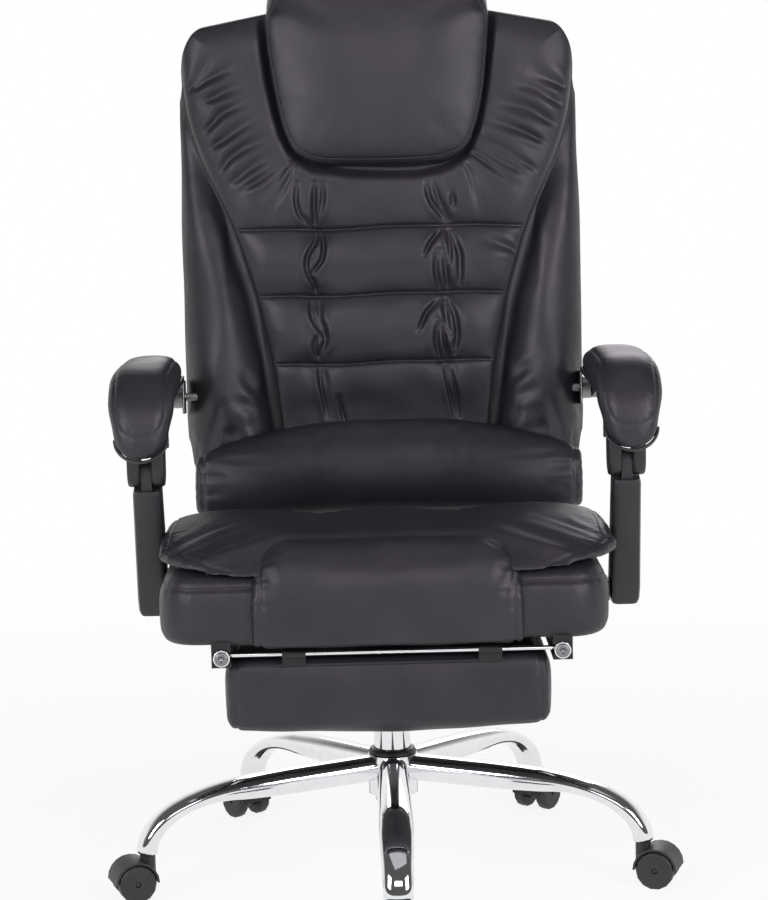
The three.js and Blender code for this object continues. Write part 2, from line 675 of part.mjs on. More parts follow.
function armPost() {
  const shoulder = postLength - post.shoulder;
  const outline = roundedSection(12, 5);
  const heightShares = [0, 0.03, 0.12, 0.5, 0.97, 1];
  const fullShares = [0.86, 0.96, 1, 0.97, 0.93, 0.85];
  const body = loft(heightShares.map((s, i) => outline.map(([across, deep]) => new THREE.Vector3(
    armX + (post.width / 2) * across * fullShares[i],
    (post.depth / 2) * deep * fullShares[i],
    -post.footDrop + (shoulder + post.footDrop) * s,
  ))));
  const inner = armX - post.tongueWidth / 2;
  const outer = armX + post.tongueWidth / 2;
  const tongue = [
    block(inner, outer, -post.eyeRadius, post.eyeRadius, shoulder - post.shoulder, postLength),
    rod('x', post.eyeRadius, inner, outer, [0, postLength], 18),
  ];
  const bore = post.pinRadius + running;
  const holes = [
    rod('x', bore, postInner - overrun, postInner + post.pinGrip + gap, [0, 0], 12),
    rod('x', bore, inner - overrun, outer + overrun, [0, postLength], 12),
  ];
  return cut(join(body, ...tongue), ...holes);
}

// The line along the middle of the pad, as (y, z): a share of 0 is its rear end, and 1 the tip of the nose
const padMiddleZ = kneePivot.y + arm.rise - arm.padThickness / 2;
const armRear = backPivot.x - arm.rearSetback;
const armBend = kneePivot.x - arm.bendSetback;
const armBendShare = 0.62;
const armDropShare = 0.93;
const armBendShares = [armBendShare, 0.7, 0.78, 0.86, armDropShare];
const rimEndShare = 0.97;

function armLine(t, offset = 0) {
  if (t <= armBendShare) {
    return new THREE.Vector2(THREE.MathUtils.lerp(armRear, armBend, t / armBendShare), padMiddleZ + offset);
  }
  const radius = arm.bendRadius + offset;
  const turn = ((Math.min(t, armDropShare) - armBendShare) / (armDropShare - armBendShare)) * (Math.PI / 2);
  const drop = (Math.max(0, t - armDropShare) / (1 - armDropShare)) * arm.noseDrop;
  return new THREE.Vector2(
    armBend - radius * Math.sin(turn),
    padMiddleZ - arm.bendRadius + radius * Math.cos(turn) - drop,
  );
}

function armPad() {
  const outline = roundedSection(16, 3);
  const placeShares = [0, 0.012, 0.05, 0.2, 0.42, ...armBendShares, rimEndShare, 1];
  const fullShares = [0.6, 0.82, 0.96, 1, 1, 1, 1, 1, 1, 0.97, 0.85, 0.6];
  return loft(placeShares.map((t, i) => outline.map(([across, out]) => {
    const place = armLine(t, (arm.padThickness / 2) * out * fullShares[i]);
    const width = THREE.MathUtils.lerp(arm.rearWidth, arm.width, Math.min(1, 2 * t)) * fullShares[i];
    return new THREE.Vector3(armX + (width * across) / 2, place.x, place.y);
  })));
}

// The plastic frame of an armrest: a rim under the pad, a web with the two cheeks of the front joint,
// and a tail to the rear pivot.
function armFrame() {
  const under = -arm.padThickness / 2 - gap;
  const start = armBendShare * (arm.rimInset / (armRear - armBend));
  const rimShares = [start, ...armBendShares, rimEndShare];
  const outside = rimShares.map((t) => armLine(t, under));
  const inside = rimShares.map((t) => armLine(t, under - arm.rimThickness)).reverse();
  const rimShape = new THREE.Shape([...outside, ...inside]);
  const webInner = armX - arm.webWidth / 2;
  const webOuter = armX + arm.webWidth / 2;
  const beamZ = padMiddleZ + under - arm.beamRadius;
  const beamFront = new THREE.Vector2(kneePivot.x - arm.beamFrontSetback, beamZ);
  const beamRear = new THREE.Vector2(backPivot.x - arm.beamRearSetback, beamZ);
  const pillarTop = new THREE.Vector2(kneePivot.x, padMiddleZ + under - arm.pillarRadius);
  const tail = stripShape(beamRear, backPivot, arm.beamRadius, arm.tailRadius);
  const body = join(
    plate(rimShape, armX - arm.rimWidth / 2, armX + arm.rimWidth / 2),
    plate(stripShape(kneePivot, pillarTop, arm.cheekRadius, arm.pillarRadius), webInner, webOuter),
    plate(stripShape(beamFront, beamRear, arm.beamRadius, arm.beamRadius), webInner, webOuter),
    plate(tail, armX - arm.tailWidth / 2, armX + arm.tailWidth / 2),
  );
  const slotHalf = post.tongueWidth / 2 + running;
  const room = post.shoulder + running;
  const slot = block(
    armX - slotHalf, armX + slotHalf, kneePivot.x - room - overrun, kneePivot.x + room + overrun,
    kneePivot.y - room - overrun, kneePivot.y + room,
  );
  const eye = rod('x', armStud.pinRadius + running, webInner, webOuter, backPivot.toArray(), 14);
  const pin = rod('x', post.pinRadius, webInner, webOuter, kneePivot.toArray(), 12);
  return join(cut(body, slot, eye), pin);
}

function armBracketForm() {
  const tabOuter = postInner - running;
  const tabInner = tabOuter - armBracket.tabThickness;
  const front = seatPivot.x - armBracket.width / 2;
  const rear = seatPivot.x + armBracket.width / 2;
  const inner = guideOuter + armBracket.sideClearance;
  const tabFoot = seatPivot.y - armBracket.tabDrop;
  const tabTop = seatPivot.y + armBracket.tabRise;
  return join(
    block(inner, tabOuter, front, rear, plateTop - armBracket.thickness, plateTop),
    block(tabInner, tabOuter, front, rear, tabFoot, tabTop),
    rod('x', post.pinRadius, tabInner, postInner + post.pinGrip, seatPivot.toArray(), 12),
  );
}

onBothSides((side, label) => {
  const holder = new THREE.Group();
  holder.position.set(0, seatPivot.x, seatPivot.y);
  holder.rotation.x = postTilt;
  chair.add(holder);
  add(holder, `arm_post_${label}`, mirrored(armPost(), side), plastic);
  add(chair, `arm_bracket_${label}`, mirrored(armBracketForm(), side), steel);
  add(chair, `arm_frame_${label}`, mirrored(armFrame(), side), plastic);
  add(chair, `arm_pad_${label}`, mirrored(armPad(), side), leather);
});

// Backrest, in a group that leans back about the hinge

const backFrame = new THREE.Group();
backFrame.position.set(0, hingePivot.x, hingePivot.y);
backFrame.rotation.x = -lean;
chair.add(backFrame);

// Where the armrest's rear pivot is in the backrest's own frame, as (yb, zb)
const armPin = new THREE.Vector2(
  armVector.x * Math.cos(lean) - armVector.y * Math.sin(lean),
  armVector.x * Math.sin(lean) + armVector.y * Math.cos(lean),
);
const backWidthShares = curveOf([[0, 0.958], [0.15, 0.99], [0.5, 1], [0.85, 0.99], [1, 0.96]]);
const backHalfWidth = seat.halfWidth + back.overhang;
const backHalfWidthAt = (zb) => backHalfWidth * backWidthShares((zb - back.foot) / back.height);

function backPlate(grow) {
  const x0 = backPlateX - grow;
  const x1 = backPlateX + hinge.thickness + grow;
  const half = hinge.backPlateHalfDepth + grow;
  const branch = hinge.branchRadius + grow;
  return join(
    plate(stripShape(new THREE.Vector2(0, 0), new THREE.Vector2(0, hinge.backPlateTop), half, half), x0, x1),
    plate(stripShape(new THREE.Vector2(0, armPin.y), armPin, branch, branch), x0, x1),
  );
}

const studFoot = backPlateX + hinge.thickness + gap;
const studTop = armX + arm.tailWidth / 2;
const armPinAt = armPin.toArray();

// The stud that the armrest's tail turns on is screwed to the hinge plate inside the back.
// A square plate meets the cover.
function backArmStud() {
  const wall = backHalfWidthAt(armPin.y) + gap;
  const half = armStud.plateHalf;
  const head = studTop + running;
  return join(
    rod('x', armStud.pinRadius, studFoot, studTop + gap + armStud.headThickness, armPinAt, 14),
    block(
      wall, wall + armStud.plateThickness,
      armPin.x - half, armPin.x + half, armPin.y - half, armPin.y + half,
    ),
    rod('x', armStud.collarRadius, wall, armX - arm.tailWidth / 2 - running, armPinAt, 20),
    rod('x', armStud.headRadius, head, head + armStud.headThickness, armPinAt, 14),
  );
}

onBothSides((side, label) => {
  const holes = rod('x', hinge.pinRadius + gap, backPlateX - overrun, hingeX, [0, 0], 12);
  add(backFrame, `hinge_back_plate_${label}`, mirrored(cut(backPlate(0), holes), side), steel);
  add(backFrame, `back_arm_stud_${label}`, mirrored(backArmStud(), side), zinc);
});

function backBoard(grow) {
  const half = backPlateX - back.boardInset + grow;
  const halfThick = back.boardThickness / 2 + grow;
  return block(
    -half, half, -halfThick, halfThick,
    back.foot + back.boardFootInset - grow, backTop - back.boardTopInset + grow,
  );
}
add(backFrame, 'back_board', backBoard(0), plywood);

// How nearly a form comes to its full size at its very edge, so that its rings never shrink to a point
const edgeShare = 0.9995;
const rimShare = 0.999;

// A backrest form lofted up zb from levels of [zb, half width, rear yb, front depth].
function backForm(levels, edge) {
  const columnShares = [-1, -0.985, -0.94, -0.82, -0.6, -0.3, 0, 0.3, 0.6, 0.82, 0.94, 0.985, 1];
  const rearShare = 0.6;
  return loft(levels.map(([zb, halfWidth, rear, depth]) => {
    const front = columnShares.map((u) => {
      const out = Math.max(gap, depth * roundOff(u * edgeShare, edge));
      return new THREE.Vector3(u * halfWidth, rear - out, zb);
    });
    const rearCorners = [rearShare, -rearShare].map((u) => new THREE.Vector3(u * halfWidth, rear, zb));
    return [...front, ...rearCorners];
  }));
}

// Levels from the back's foot to its top, rounded over at both ends.
function backLevels(halfWidth, rear, depth, power) {
  const heightShares = [0, 0.012, 0.05, 0.16, 0.33, 0.5, 0.66, 0.82, 0.93, 0.97, 0.992, 1];
  const narrowShare = 0.55;
  return heightShares.map((s) => {
    const left = roundOff((2 * s - 1) * rimShare, power);
    const width = halfWidth * backWidthShares(s) * THREE.MathUtils.lerp(narrowShare, 1, left);
    return [back.foot + back.height * s, width, rear, Math.max(gap, depth * left)];
  });
}

const boardFace = back.boardThickness / 2;
const seamFront = boardFace - gap - back.frontDepth;
const backCushion = backForm(backLevels(backHalfWidth, boardFace - gap, back.frontDepth, 9), 6);
const studRoom = rod('x', armStud.pinRadius + gap, studFoot - gap, studTop, armPinAt, 14);
const backRooms = [backBoard(gap), ...[1, -1].flatMap((side) => [backPlate(gap), studRoom].map(
  (room) => mirrored(room, side),
))];

// The rear shell is made facing forward and turned round.
const shellRear = back.rearDepth - boardFace - gap;
const rearShell = backForm(
  backLevels(backHalfWidth - back.shellInset, -boardFace - gap, shellRear, 7), 4,
).rotateZ(Math.PI);

// The overlay's half width, as shares of the back's half width against shares of the overlay's height
const overlayWidthShares = curveOf([
  [0, 0.5], [0.1, 0.524], [0.24, 0.559], [0.39, 0.612], [0.534, 0.71], [0.716, 0.93], [0.832, 0.968],
  [0.894, 0.983], [1, 0.975],
]);
const overlayRear = seamFront - gap;
const overlayFoot = back.foot + overlay.footRise;
const overlayHeight = backTop - overlayFoot;

function channelLine(index) {
  return overlayFoot + overlay.channelFirst + index * overlay.channelPitch;
}

function overlayDepth(x, zb) {
  const fade = overlay.channelPitch / 4;
  const tuftTop = overlayFoot + overlay.tuftHeight;
  const tufted = zb < tuftTop ? 1 : bell(zb - tuftTop, fade);
  let depth = 0;
  for (let i = 0; i < overlay.channels; i++) {
    depth -= overlay.channelDepth * bell(zb - channelLine(i), overlay.channelWidth);
  }
  for (const side of [-1, 1]) {
    depth -= overlay.tuftDepth * tufted * bell(x - side * overlay.tuftX, overlay.tuftWidth);
  }
  return Math.max(depth, -overlay.thickness / 2);
}

function overlayLevels() {
  const topShares = [0.72, 0.8, 0.88, 0.94, 0.975, 0.993, 1];
  const lineShares = [-1.8, -0.7, 0, 0.7, 1.8];
  const heights = [overlayFoot, overlayFoot + overlay.channelPitch / 4];
  for (let i = 0; i <= overlay.channels; i++) {
    heights.push(channelLine(i) - overlay.channelPitch / 2);
    if (i === overlay.channels) break;
    for (const share of lineShares) heights.push(channelLine(i) + share * overlay.channelWidth);
  }
  return [...heights, ...topShares.map((share) => overlayFoot + overlayHeight * share)];
}

function overlayForm() {
  const sideShares = [1, 0.985, 0.93, 0.8];
  const tuftShares = [1.6, 0.7, 0, -0.7, -1.6];
  const middleShare = 0.4;
  const rearShare = 0.5;
  const nearTuft = tuftShares.map((share) => overlay.tuftX + share * overlay.tuftWidth);
  return loft(overlayLevels().map((zb) => {
    const s = (zb - overlayFoot) / overlayHeight;
    const left = roundOff((2 * Math.max(s, 1 / 2) - 1) * rimShare, 5);
    const halfWidth = backHalfWidth * overlayWidthShares(s) * (1 + left) / 2;
    const depth = Math.max(gap, overlay.thickness * left);
    const outside = sideShares.map((share) => THREE.MathUtils.lerp(nearTuft[0], halfWidth, share));
    const right = [...outside, ...nearTuft, middleShare * nearTuft[nearTuft.length - 1]];
    const xs = [...right.map((x) => -x), ...right.slice().reverse()];
    const front = xs.map((x) => {
      const full = depth * (1 + overlayDepth(x, zb) / overlay.thickness);
      const out = Math.max(gap, full * roundOff((x / halfWidth) * edgeShare, 5));
      return new THREE.Vector3(x, overlayRear - out, zb);
    });
    const rearCorners = [rearShare, -rearShare].map((u) => new THREE.Vector3(u * halfWidth, overlayRear, zb));
    return [...front, ...rearCorners];
  }));
}

// The lumbar roll runs across the back, with an arched top; it is lofted along X.
function lumbarForm(grow) {
  const sideShares = [0.998, 0.975, 0.9, 0.72, 0.48, 0.24];
  const endShare = 0.5;
  const across = [...sideShares.map((s) => -s), 0, ...sideShares.slice().reverse()];
  const steps = 10;
  const foot = back.foot + lumbar.footRise - grow;
  return loft(across.map((s) => {
    const top = foot + lumbar.sideHeight + lumbar.archRise * (1 - s * s) + 2 * grow;
    const left = roundOff(s, 5);
    const middle = (top + foot) / 2;
    const half = ((top - foot) / 2) * Math.max(left, endShare);
    return Array.from({ length: steps + 1 }, (_, i) => {
      const angle = (Math.PI * i) / steps;
      const skin = i % steps === 0 ? -grow : grow;
      const out = Math.pow(Math.sin(angle), 0.7) * lumbar.bulge * left + skin;
      const zb = middle - half * signedPower(Math.cos(angle), 0.8);
      return new THREE.Vector3(s * (backHalfWidth - lumbar.inset + grow), overlayRear - out, zb);
    });
  }));
}

// The headrest narrows to a rounded foot, and its top reaches back over the backrest.
function headrestForm(grow) {
  const widthShares = curveOf([
    [0, 0.62], [0.07, 0.77], [0.19, 0.865], [0.36, 0.925], [0.58, 0.97], [0.8, 1], [1, 0.96],
  ]);
  const levelShares = [0, 0.02, 0.07, 0.14, 0.26, 0.4, 0.56, 0.7, 0.795, 0.82, 0.9, 0.96, 0.99, 1];
  const columnShares = [-1, -0.97, -0.88, -0.65, -0.35, 0, 0.35, 0.65, 0.88, 0.97, 1];
  const narrowShare = 0.75;
  const foot = backTop - headrest.drop - grow;
  const height = headrest.drop + headrest.rise + 2 * grow;
  return loft(levelShares.map((s) => {
    const zb = foot + height * s;
    const left = roundOff((2 * s - 1) * rimShare, 6);
    const halfWidth = headrest.halfWidth * widthShares(s) * THREE.MathUtils.lerp(narrowShare, 1, left) + grow;
    const rearY = zb > backTop + headrest.lift ? headrest.overhang * left : overlayRear + grow;
    const frontY = overlayRear - headrest.depth * left - grow;
    const middle = (rearY + frontY) / 2;
    const half = (rearY - frontY) / 2;
    const front = columnShares.map(
      (u) => new THREE.Vector3(u * halfWidth, middle - half * roundOff(u * rimShare, 4), zb),
    );
    const rear = columnShares.slice(1, -1).reverse().map(
      (u) => new THREE.Vector3(u * halfWidth, middle + half * roundOff(u, 8), zb),
    );
    return [...front, ...rear];
  }));
}

add(backFrame, 'back_cushion', cut(backCushion, ...backRooms), leather);
add(backFrame, 'back_rear_shell', cut(rearShell, backCushion, ...backRooms), leather);
add(backFrame, 'back_overlay', cut(overlayForm(), lumbarForm(2 * gap), headrestForm(2 * gap)), leather);
add(backFrame, 'lumbar_roll', lumbarForm(0), leather);
add(backFrame, 'headrest', headrestForm(0), leather);

export default chair;
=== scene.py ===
import math

import bmesh
import bpy
import numpy as np
from mathutils import Matrix, Vector
from mathutils.bvhtree import BVHTree


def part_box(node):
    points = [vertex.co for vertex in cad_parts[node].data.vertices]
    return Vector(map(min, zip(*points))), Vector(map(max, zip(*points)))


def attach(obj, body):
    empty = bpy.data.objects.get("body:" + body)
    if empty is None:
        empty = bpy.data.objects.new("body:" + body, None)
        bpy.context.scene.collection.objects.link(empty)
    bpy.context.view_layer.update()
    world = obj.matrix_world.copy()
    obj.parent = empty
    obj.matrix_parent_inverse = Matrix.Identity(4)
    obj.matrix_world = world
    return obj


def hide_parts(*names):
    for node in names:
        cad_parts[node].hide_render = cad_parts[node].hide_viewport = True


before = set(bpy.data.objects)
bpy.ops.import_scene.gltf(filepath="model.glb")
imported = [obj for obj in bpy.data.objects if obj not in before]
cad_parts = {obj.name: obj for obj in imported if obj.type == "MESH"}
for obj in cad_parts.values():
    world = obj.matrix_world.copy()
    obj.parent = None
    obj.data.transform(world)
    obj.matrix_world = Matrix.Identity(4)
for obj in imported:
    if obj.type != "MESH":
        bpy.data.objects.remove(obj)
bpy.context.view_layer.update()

scene = bpy.context.scene
MM = 0.001

# Sizes shared with the frame
HINGE = np.array([0.0, 290.0, 455.0])
LEAN = math.radians(6)
SEAM_FRONT = -84.3
LEGS = 5

# In the photograph the backrest and the seat stand a little to one side of the column
BACK_SHIFT = 4.0
SEAT_SHIFT = -3.0


# Meshes

def link(obj):
    scene.collection.objects.link(obj)
    return obj


def mesh_piece(name, points, faces):
    mesh = bpy.data.meshes.new(name)
    mesh.from_pydata((np.asarray(points, float) * MM).tolist(), [], [tuple(f) for f in faces])
    mesh.update()
    mesh.shade_smooth()
    return link(bpy.data.objects.new(name, mesh))


def coordinates(obj):
    co = np.empty(len(obj.data.vertices) * 3)
    obj.data.vertices.foreach_get("co", co)
    return co.reshape(-1, 3) / MM


def set_coordinates(obj, points):
    obj.data.vertices.foreach_set("co", (points * MM).ravel())
    obj.data.update()


def normals_of(obj):
    found = np.empty(len(obj.data.vertices) * 3)
    obj.data.vertex_normals.foreach_get("vector", found)
    return found.reshape(-1, 3)


def baked(obj):
    """Applies the modifiers of a piece, so that what they make is its mesh."""
    shown = obj.evaluated_get(bpy.context.evaluated_depsgraph_get())
    mesh = bpy.data.meshes.new_from_object(shown)
    old = obj.data
    obj.modifiers.clear()
    obj.data = mesh
    bpy.data.meshes.remove(old)
    mesh.shade_smooth()
    return obj


def outward(obj):
    """Turns all faces of a closed mesh outward."""
    bm = bmesh.new()
    bm.from_mesh(obj.data)
    bmesh.ops.recalc_face_normals(bm, faces=bm.faces)
    bm.to_mesh(obj.data)
    bm.free()
    obj.data.update()
    return obj


def leaned(points, angle):
    """Points turned about the x axis."""
    x, y, z = points.T
    cos, sin = math.cos(angle), math.sin(angle)
    return np.column_stack([x, y * cos + z * sin, z * cos - y * sin])


def back_to_world(points):
    return leaned(np.asarray(points, float), LEAN) + HINGE


def world_to_back(points):
    return leaned(np.asarray(points, float) - HINGE, -LEAN)


def back_coordinates(obj):
    return world_to_back(coordinates(obj))


def ring_faces(rings, count, closed=False):
    """Faces of a tube of rings with count points each, with end caps where it isn't closed."""
    faces = []
    for i in range(rings if closed else rings - 1):
        a, b = i * count, ((i + 1) % rings) * count
        faces += [(a + j, a + (j + 1) % count, b + (j + 1) % count, b + j) for j in range(count)]
    if not closed:
        faces += [tuple(range(count))[::-1], tuple(range((rings - 1) * count, rings * count))]
    return faces


def loft(name, rings, closed=False):
    rings = np.asarray(rings, float)
    return outward(mesh_piece(name, rings.reshape(-1, 3), ring_faces(len(rings), rings.shape[1], closed)))


def full_turn(count):
    """Evenly spaced angles once round."""
    return np.linspace(0, 2 * math.pi, count, endpoint=False)


def unit(vectors):
    return vectors / np.linalg.norm(vectors, axis=-1, keepdims=True)


def directions(line):
    """Which way a closed line runs at each of its points."""
    return unit(np.roll(line, -1, axis=0) - np.roll(line, 1, axis=0))


def travelled(line):
    """How far along a line each of its points lies."""
    return np.concatenate([[0], np.cumsum(np.linalg.norm(np.diff(line, axis=0), axis=1))])


def resampled(line, spacing, closed=False):
    """Points a constant distance apart along a line."""
    line = np.asarray(line, float)
    if closed:
        line = np.vstack([line, line[:1]])
    at = travelled(line)
    count = max(2, int(round(at[-1] / spacing)))
    wanted = np.linspace(0, at[-1], count + (0 if closed else 1), endpoint=not closed)
    return np.stack([np.interp(wanted, at, line[:, k]) for k in range(3)], axis=1)


def eased(line, rounds, closed=False):
    """A line with its corners eased off."""
    line = np.array(line, float)
    for _ in range(rounds):
        near = (np.roll(line, 1, axis=0) + np.roll(line, -1, axis=0)) / 2
        moved = (line + near) / 2
        if not closed:
            moved[0], moved[-1] = line[0], line[-1]
        line = moved
    return line


def tube(name, line, radius, closed=False, sides=8):
    """A round tube along a line of points."""
    line = np.asarray(line, float)
    ahead = np.roll(line, -1, axis=0) - np.roll(line, 1, axis=0)
    if not closed:
        ahead[0], ahead[-1] = line[1] - line[0], line[-1] - line[-2]
    ahead = unit(ahead)
    side = np.cross(ahead[0], [0.3, 0.5, 0.81])
    rings = []
    for p, t in zip(line, ahead):
        side = side - t * (side @ t)
        side /= np.linalg.norm(side)
        up = np.cross(t, side)
        rings.append([p + radius * (math.cos(a) * side + math.sin(a) * up) for a in full_turn(sides)])
    return loft(name, rings, closed)


def joined(name, parts):
    with bpy.context.temp_override(active_object=parts[0], object=parts[0],
                                   selected_objects=parts, selected_editable_objects=parts):
        bpy.ops.object.join()
    parts[0].name = name
    parts[0].data.name = name
    return parts[0]


# Materials: a number that is the same all over is set on the shader's own socket

def nodes_of(name):
    material = bpy.data.materials.new(name)
    material.use_nodes = True
    tree = material.node_tree
    tree.nodes.clear()
    shader = tree.nodes.new("ShaderNodeBsdfPrincipled")
    out = tree.nodes.new("ShaderNodeOutputMaterial")
    tree.links.new(shader.outputs[0], out.inputs["Surface"])
    place = tree.nodes.new("ShaderNodeTexCoord").outputs["Object"]
    return material, tree, shader, place


def add_node(tree, kind, inputs=(), **settings):
    made = tree.nodes.new(kind)
    for key, value in settings.items():
        setattr(made, key, value)
    for key, value in dict(inputs).items():
        if isinstance(value, bpy.types.NodeSocket):
            tree.links.new(value, made.inputs[key])
        else:
            made.inputs[key].default_value = value
    return made


def noise(tree, place, scale, detail=3, rough=0.5, stretch=(1, 1, 1)):
    mapped = add_node(tree, "ShaderNodeMapping", {"Vector": place, "Scale": stretch})
    found = add_node(tree, "ShaderNodeTexNoise", {
        "Vector": mapped.outputs[0], "Scale": scale, "Detail": detail, "Roughness": rough})
    return found.outputs["Fac"]


def ranged(tree, value, low, high, start=0.3, end=0.7):
    return add_node(tree, "ShaderNodeMapRange", {
        "Value": value, "From Min": start, "From Max": end, "To Min": low, "To Max": high}).outputs[0]


def mixed(tree, share, first, second):
    made = add_node(tree, "ShaderNodeMix", data_type="RGBA")
    tree.links.new(share, made.inputs["Factor"])
    for socket, value in ((made.inputs[6], first), (made.inputs[7], second)):
        if isinstance(value, bpy.types.NodeSocket):
            tree.links.new(value, socket)
        else:
            socket.default_value = (*value, 1)
    return made.outputs[2]


def larger(tree, first, second):
    return add_node(tree, "ShaderNodeMath", {0: first, 1: second}, operation="MAXIMUM").outputs[0]


def product(tree, first, second):
    return add_node(tree, "ShaderNodeMath", {0: first, 1: second}, operation="MULTIPLY").outputs[0]


def bumped(tree, height, distance, strength=1.0, under=None):
    made = add_node(tree, "ShaderNodeBump", {"Height": height, "Distance": distance, "Strength": strength})
    if under is not None:
        tree.links.new(under, made.inputs["Normal"])
    return made.outputs[0]


def surfaced(tree, shader, colour, roughness, relief):
    for socket, value in (("Base Color", colour), ("Roughness", roughness), ("Normal", relief)):
        tree.links.new(value, shader.inputs[socket])


def leather_material(name, dark, light, roughness):
    """Coated leather: fine pebble grain, soft creases and edges that are rubbed a little paler."""
    material, tree, shader, place = nodes_of(name)
    pebble = add_node(tree, "ShaderNodeTexVoronoi", {"Vector": place, "Scale": 620}, feature="SMOOTH_F1")
    cloudy = noise(tree, place, 14, 4)
    crumple = noise(tree, place, 95, 5, 0.55)
    worn = add_node(tree, "ShaderNodeNewGeometry").outputs["Pointiness"]
    tone = mixed(tree, ranged(tree, cloudy, 0, 1), dark, light)
    rubbed = mixed(tree, ranged(tree, worn, 0, 0.5, 0.515, 0.60), tone, tuple(1.8 * c for c in light))
    grain = bumped(tree, pebble.outputs["Distance"], 0.00025, 0.5)
    skin = bumped(tree, crumple, 0.0009, 0.4, grain)
    surfaced(tree, shader, rubbed, ranged(tree, cloudy, roughness + 0.05, roughness - 0.05),
             bumped(tree, cloudy, 0.003, 0.25, skin))
    shader.inputs["Specular IOR Level"].default_value = 0.5
    shader.inputs["IOR"].default_value = 1.5
    return material


def metal_material(name, tone, low, high, stretch=(1, 1, 1), scale=60):
    """Bare or plated metal with faint smudges."""
    material, tree, shader, place = nodes_of(name)
    smudge = noise(tree, place, scale, 4, 0.6, stretch)
    surfaced(tree, shader, mixed(tree, ranged(tree, smudge, 0, 1), tone, tuple(0.93 * c for c in tone)),
             ranged(tree, smudge, low, high), bumped(tree, smudge, 0.00005, 0.3))
    shader.inputs["Metallic"].default_value = 1
    return material


def plastic_material(name, tone, roughness, grain=900, depth=0.00015, metallic=0.0):
    """Moulded plastic or paint with a fine texture, paler where edges are rubbed."""
    material, tree, shader, place = nodes_of(name)
    cloudy = noise(tree, place, 25, 3)
    worn = add_node(tree, "ShaderNodeNewGeometry").outputs["Pointiness"]
    base = mixed(tree, ranged(tree, cloudy, 0, 1), tone, tuple(1.5 * c for c in tone))
    rubbed = mixed(tree, ranged(tree, worn, 0, 0.4, 0.52, 0.62), base, tuple(3 * c + 0.01 for c in tone))
    surfaced(tree, shader, rubbed, ranged(tree, cloudy, roughness - 0.04, roughness + 0.06),
             bumped(tree, noise(tree, place, grain, 2), depth, 0.5))
    shader.inputs["Metallic"].default_value = metallic
    return material


def plywood_material():
    """Pale wood with its grain, and darker glue lines between the plies."""
    material, tree, shader, place = nodes_of("plywood")
    grain = noise(tree, place, 9, 5, 0.6, (1, 14, 14))
    plies = add_node(tree, "ShaderNodeTexWave", {"Vector": place, "Scale": 130, "Distortion": 0.6},
                     bands_direction="Z")
    wood = mixed(tree, ranged(tree, grain, 0, 1), (0.42, 0.27, 0.14), (0.58, 0.41, 0.23))
    layered = mixed(tree, ranged(tree, plies.outputs["Fac"], 0, 0.35), wood, (0.22, 0.13, 0.07))
    surfaced(tree, shader, layered, ranged(tree, grain, 0.55, 0.75), bumped(tree, grain, 0.0003, 0.4))
    return material


def fabric_material():
    """Black non-woven cover cloth."""
    material, tree, shader, place = nodes_of("black_cover_cloth")
    fibres = noise(tree, place, 700, 3)
    tone = mixed(tree, ranged(tree, fibres, 0, 1), (0.008, 0.008, 0.009), (0.02, 0.02, 0.022))
    surfaced(tree, shader, tone, ranged(tree, fibres, 0.8, 0.95), bumped(tree, fibres, 0.0003, 0.5))
    return material


LEATHER = leather_material("black_leather", (0.0122, 0.0107, 0.0138), (0.022, 0.0195, 0.0248), 0.47)
THREAD = plastic_material("black_thread", (0.02, 0.0195, 0.022), 0.6, 2600, 0.0002)
CHROME = metal_material("chromed_steel", (0.83, 0.835, 0.85), 0.035, 0.09)
ZINC = metal_material("zinc_steel", (0.27, 0.268, 0.275), 0.3, 0.45, (1, 12, 1), 240)
STEEL = plastic_material("black_steel", (0.006, 0.006, 0.0065), 0.42, 700, 0.0001, 0.1)
PLASTIC = plastic_material("black_plastic", (0.013, 0.013, 0.0145), 0.42)
NYLON = plastic_material("black_nylon", (0.016, 0.0158, 0.017), 0.5, 700)
PLYWOOD = plywood_material()
BY_SLOT = {
    "black_leather": LEATHER, "chromed_steel": CHROME, "zinc_steel": ZINC, "black_steel": STEEL,
    "black_plastic": PLASTIC, "black_nylon": NYLON, "plywood": PLYWOOD,
}


def dressed(obj, slot, body, replaces=(), material=None):
    obj.data.materials.clear()
    obj.data.materials.append(material or BY_SLOT[slot])
    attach(obj, body)
    if replaces:
        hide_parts(*replaces)
    return obj


# Soft pieces

CLOTH_FRAMES = 20


def smoothed(obj, rounds):
    even = obj.modifiers.new("smooth", "SMOOTH")
    even.iterations = rounds
    return baked(obj)


def evened(obj, voxel, rounds):
    """Gives a closed form an even mesh that can swell as cloth."""
    remesh = obj.modifiers.new("even", "REMESH")
    remesh.mode = "VOXEL"
    remesh.voxel_size = voxel * MM
    return smoothed(obj, rounds)


def from_node(name, node, voxel, rounds, inset=1.5):
    """A copy of one of the back's soft CAD nodes, meshed evenly along the leaning back, a little smaller."""
    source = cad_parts[node]
    obj = mesh_piece(name, coordinates(source), [face.vertices for face in source.data.polygons])
    bm = bmesh.new()
    bm.from_mesh(obj.data)
    bmesh.ops.remove_doubles(bm, verts=bm.verts, dist=1e-5)
    bm.to_mesh(obj.data)
    bm.free()
    set_coordinates(obj, back_coordinates(obj))
    evened(obj, voxel, rounds)
    set_coordinates(obj, coordinates(obj) - inset * normals_of(obj))
    set_coordinates(obj, back_to_world(coordinates(obj)))
    return obj


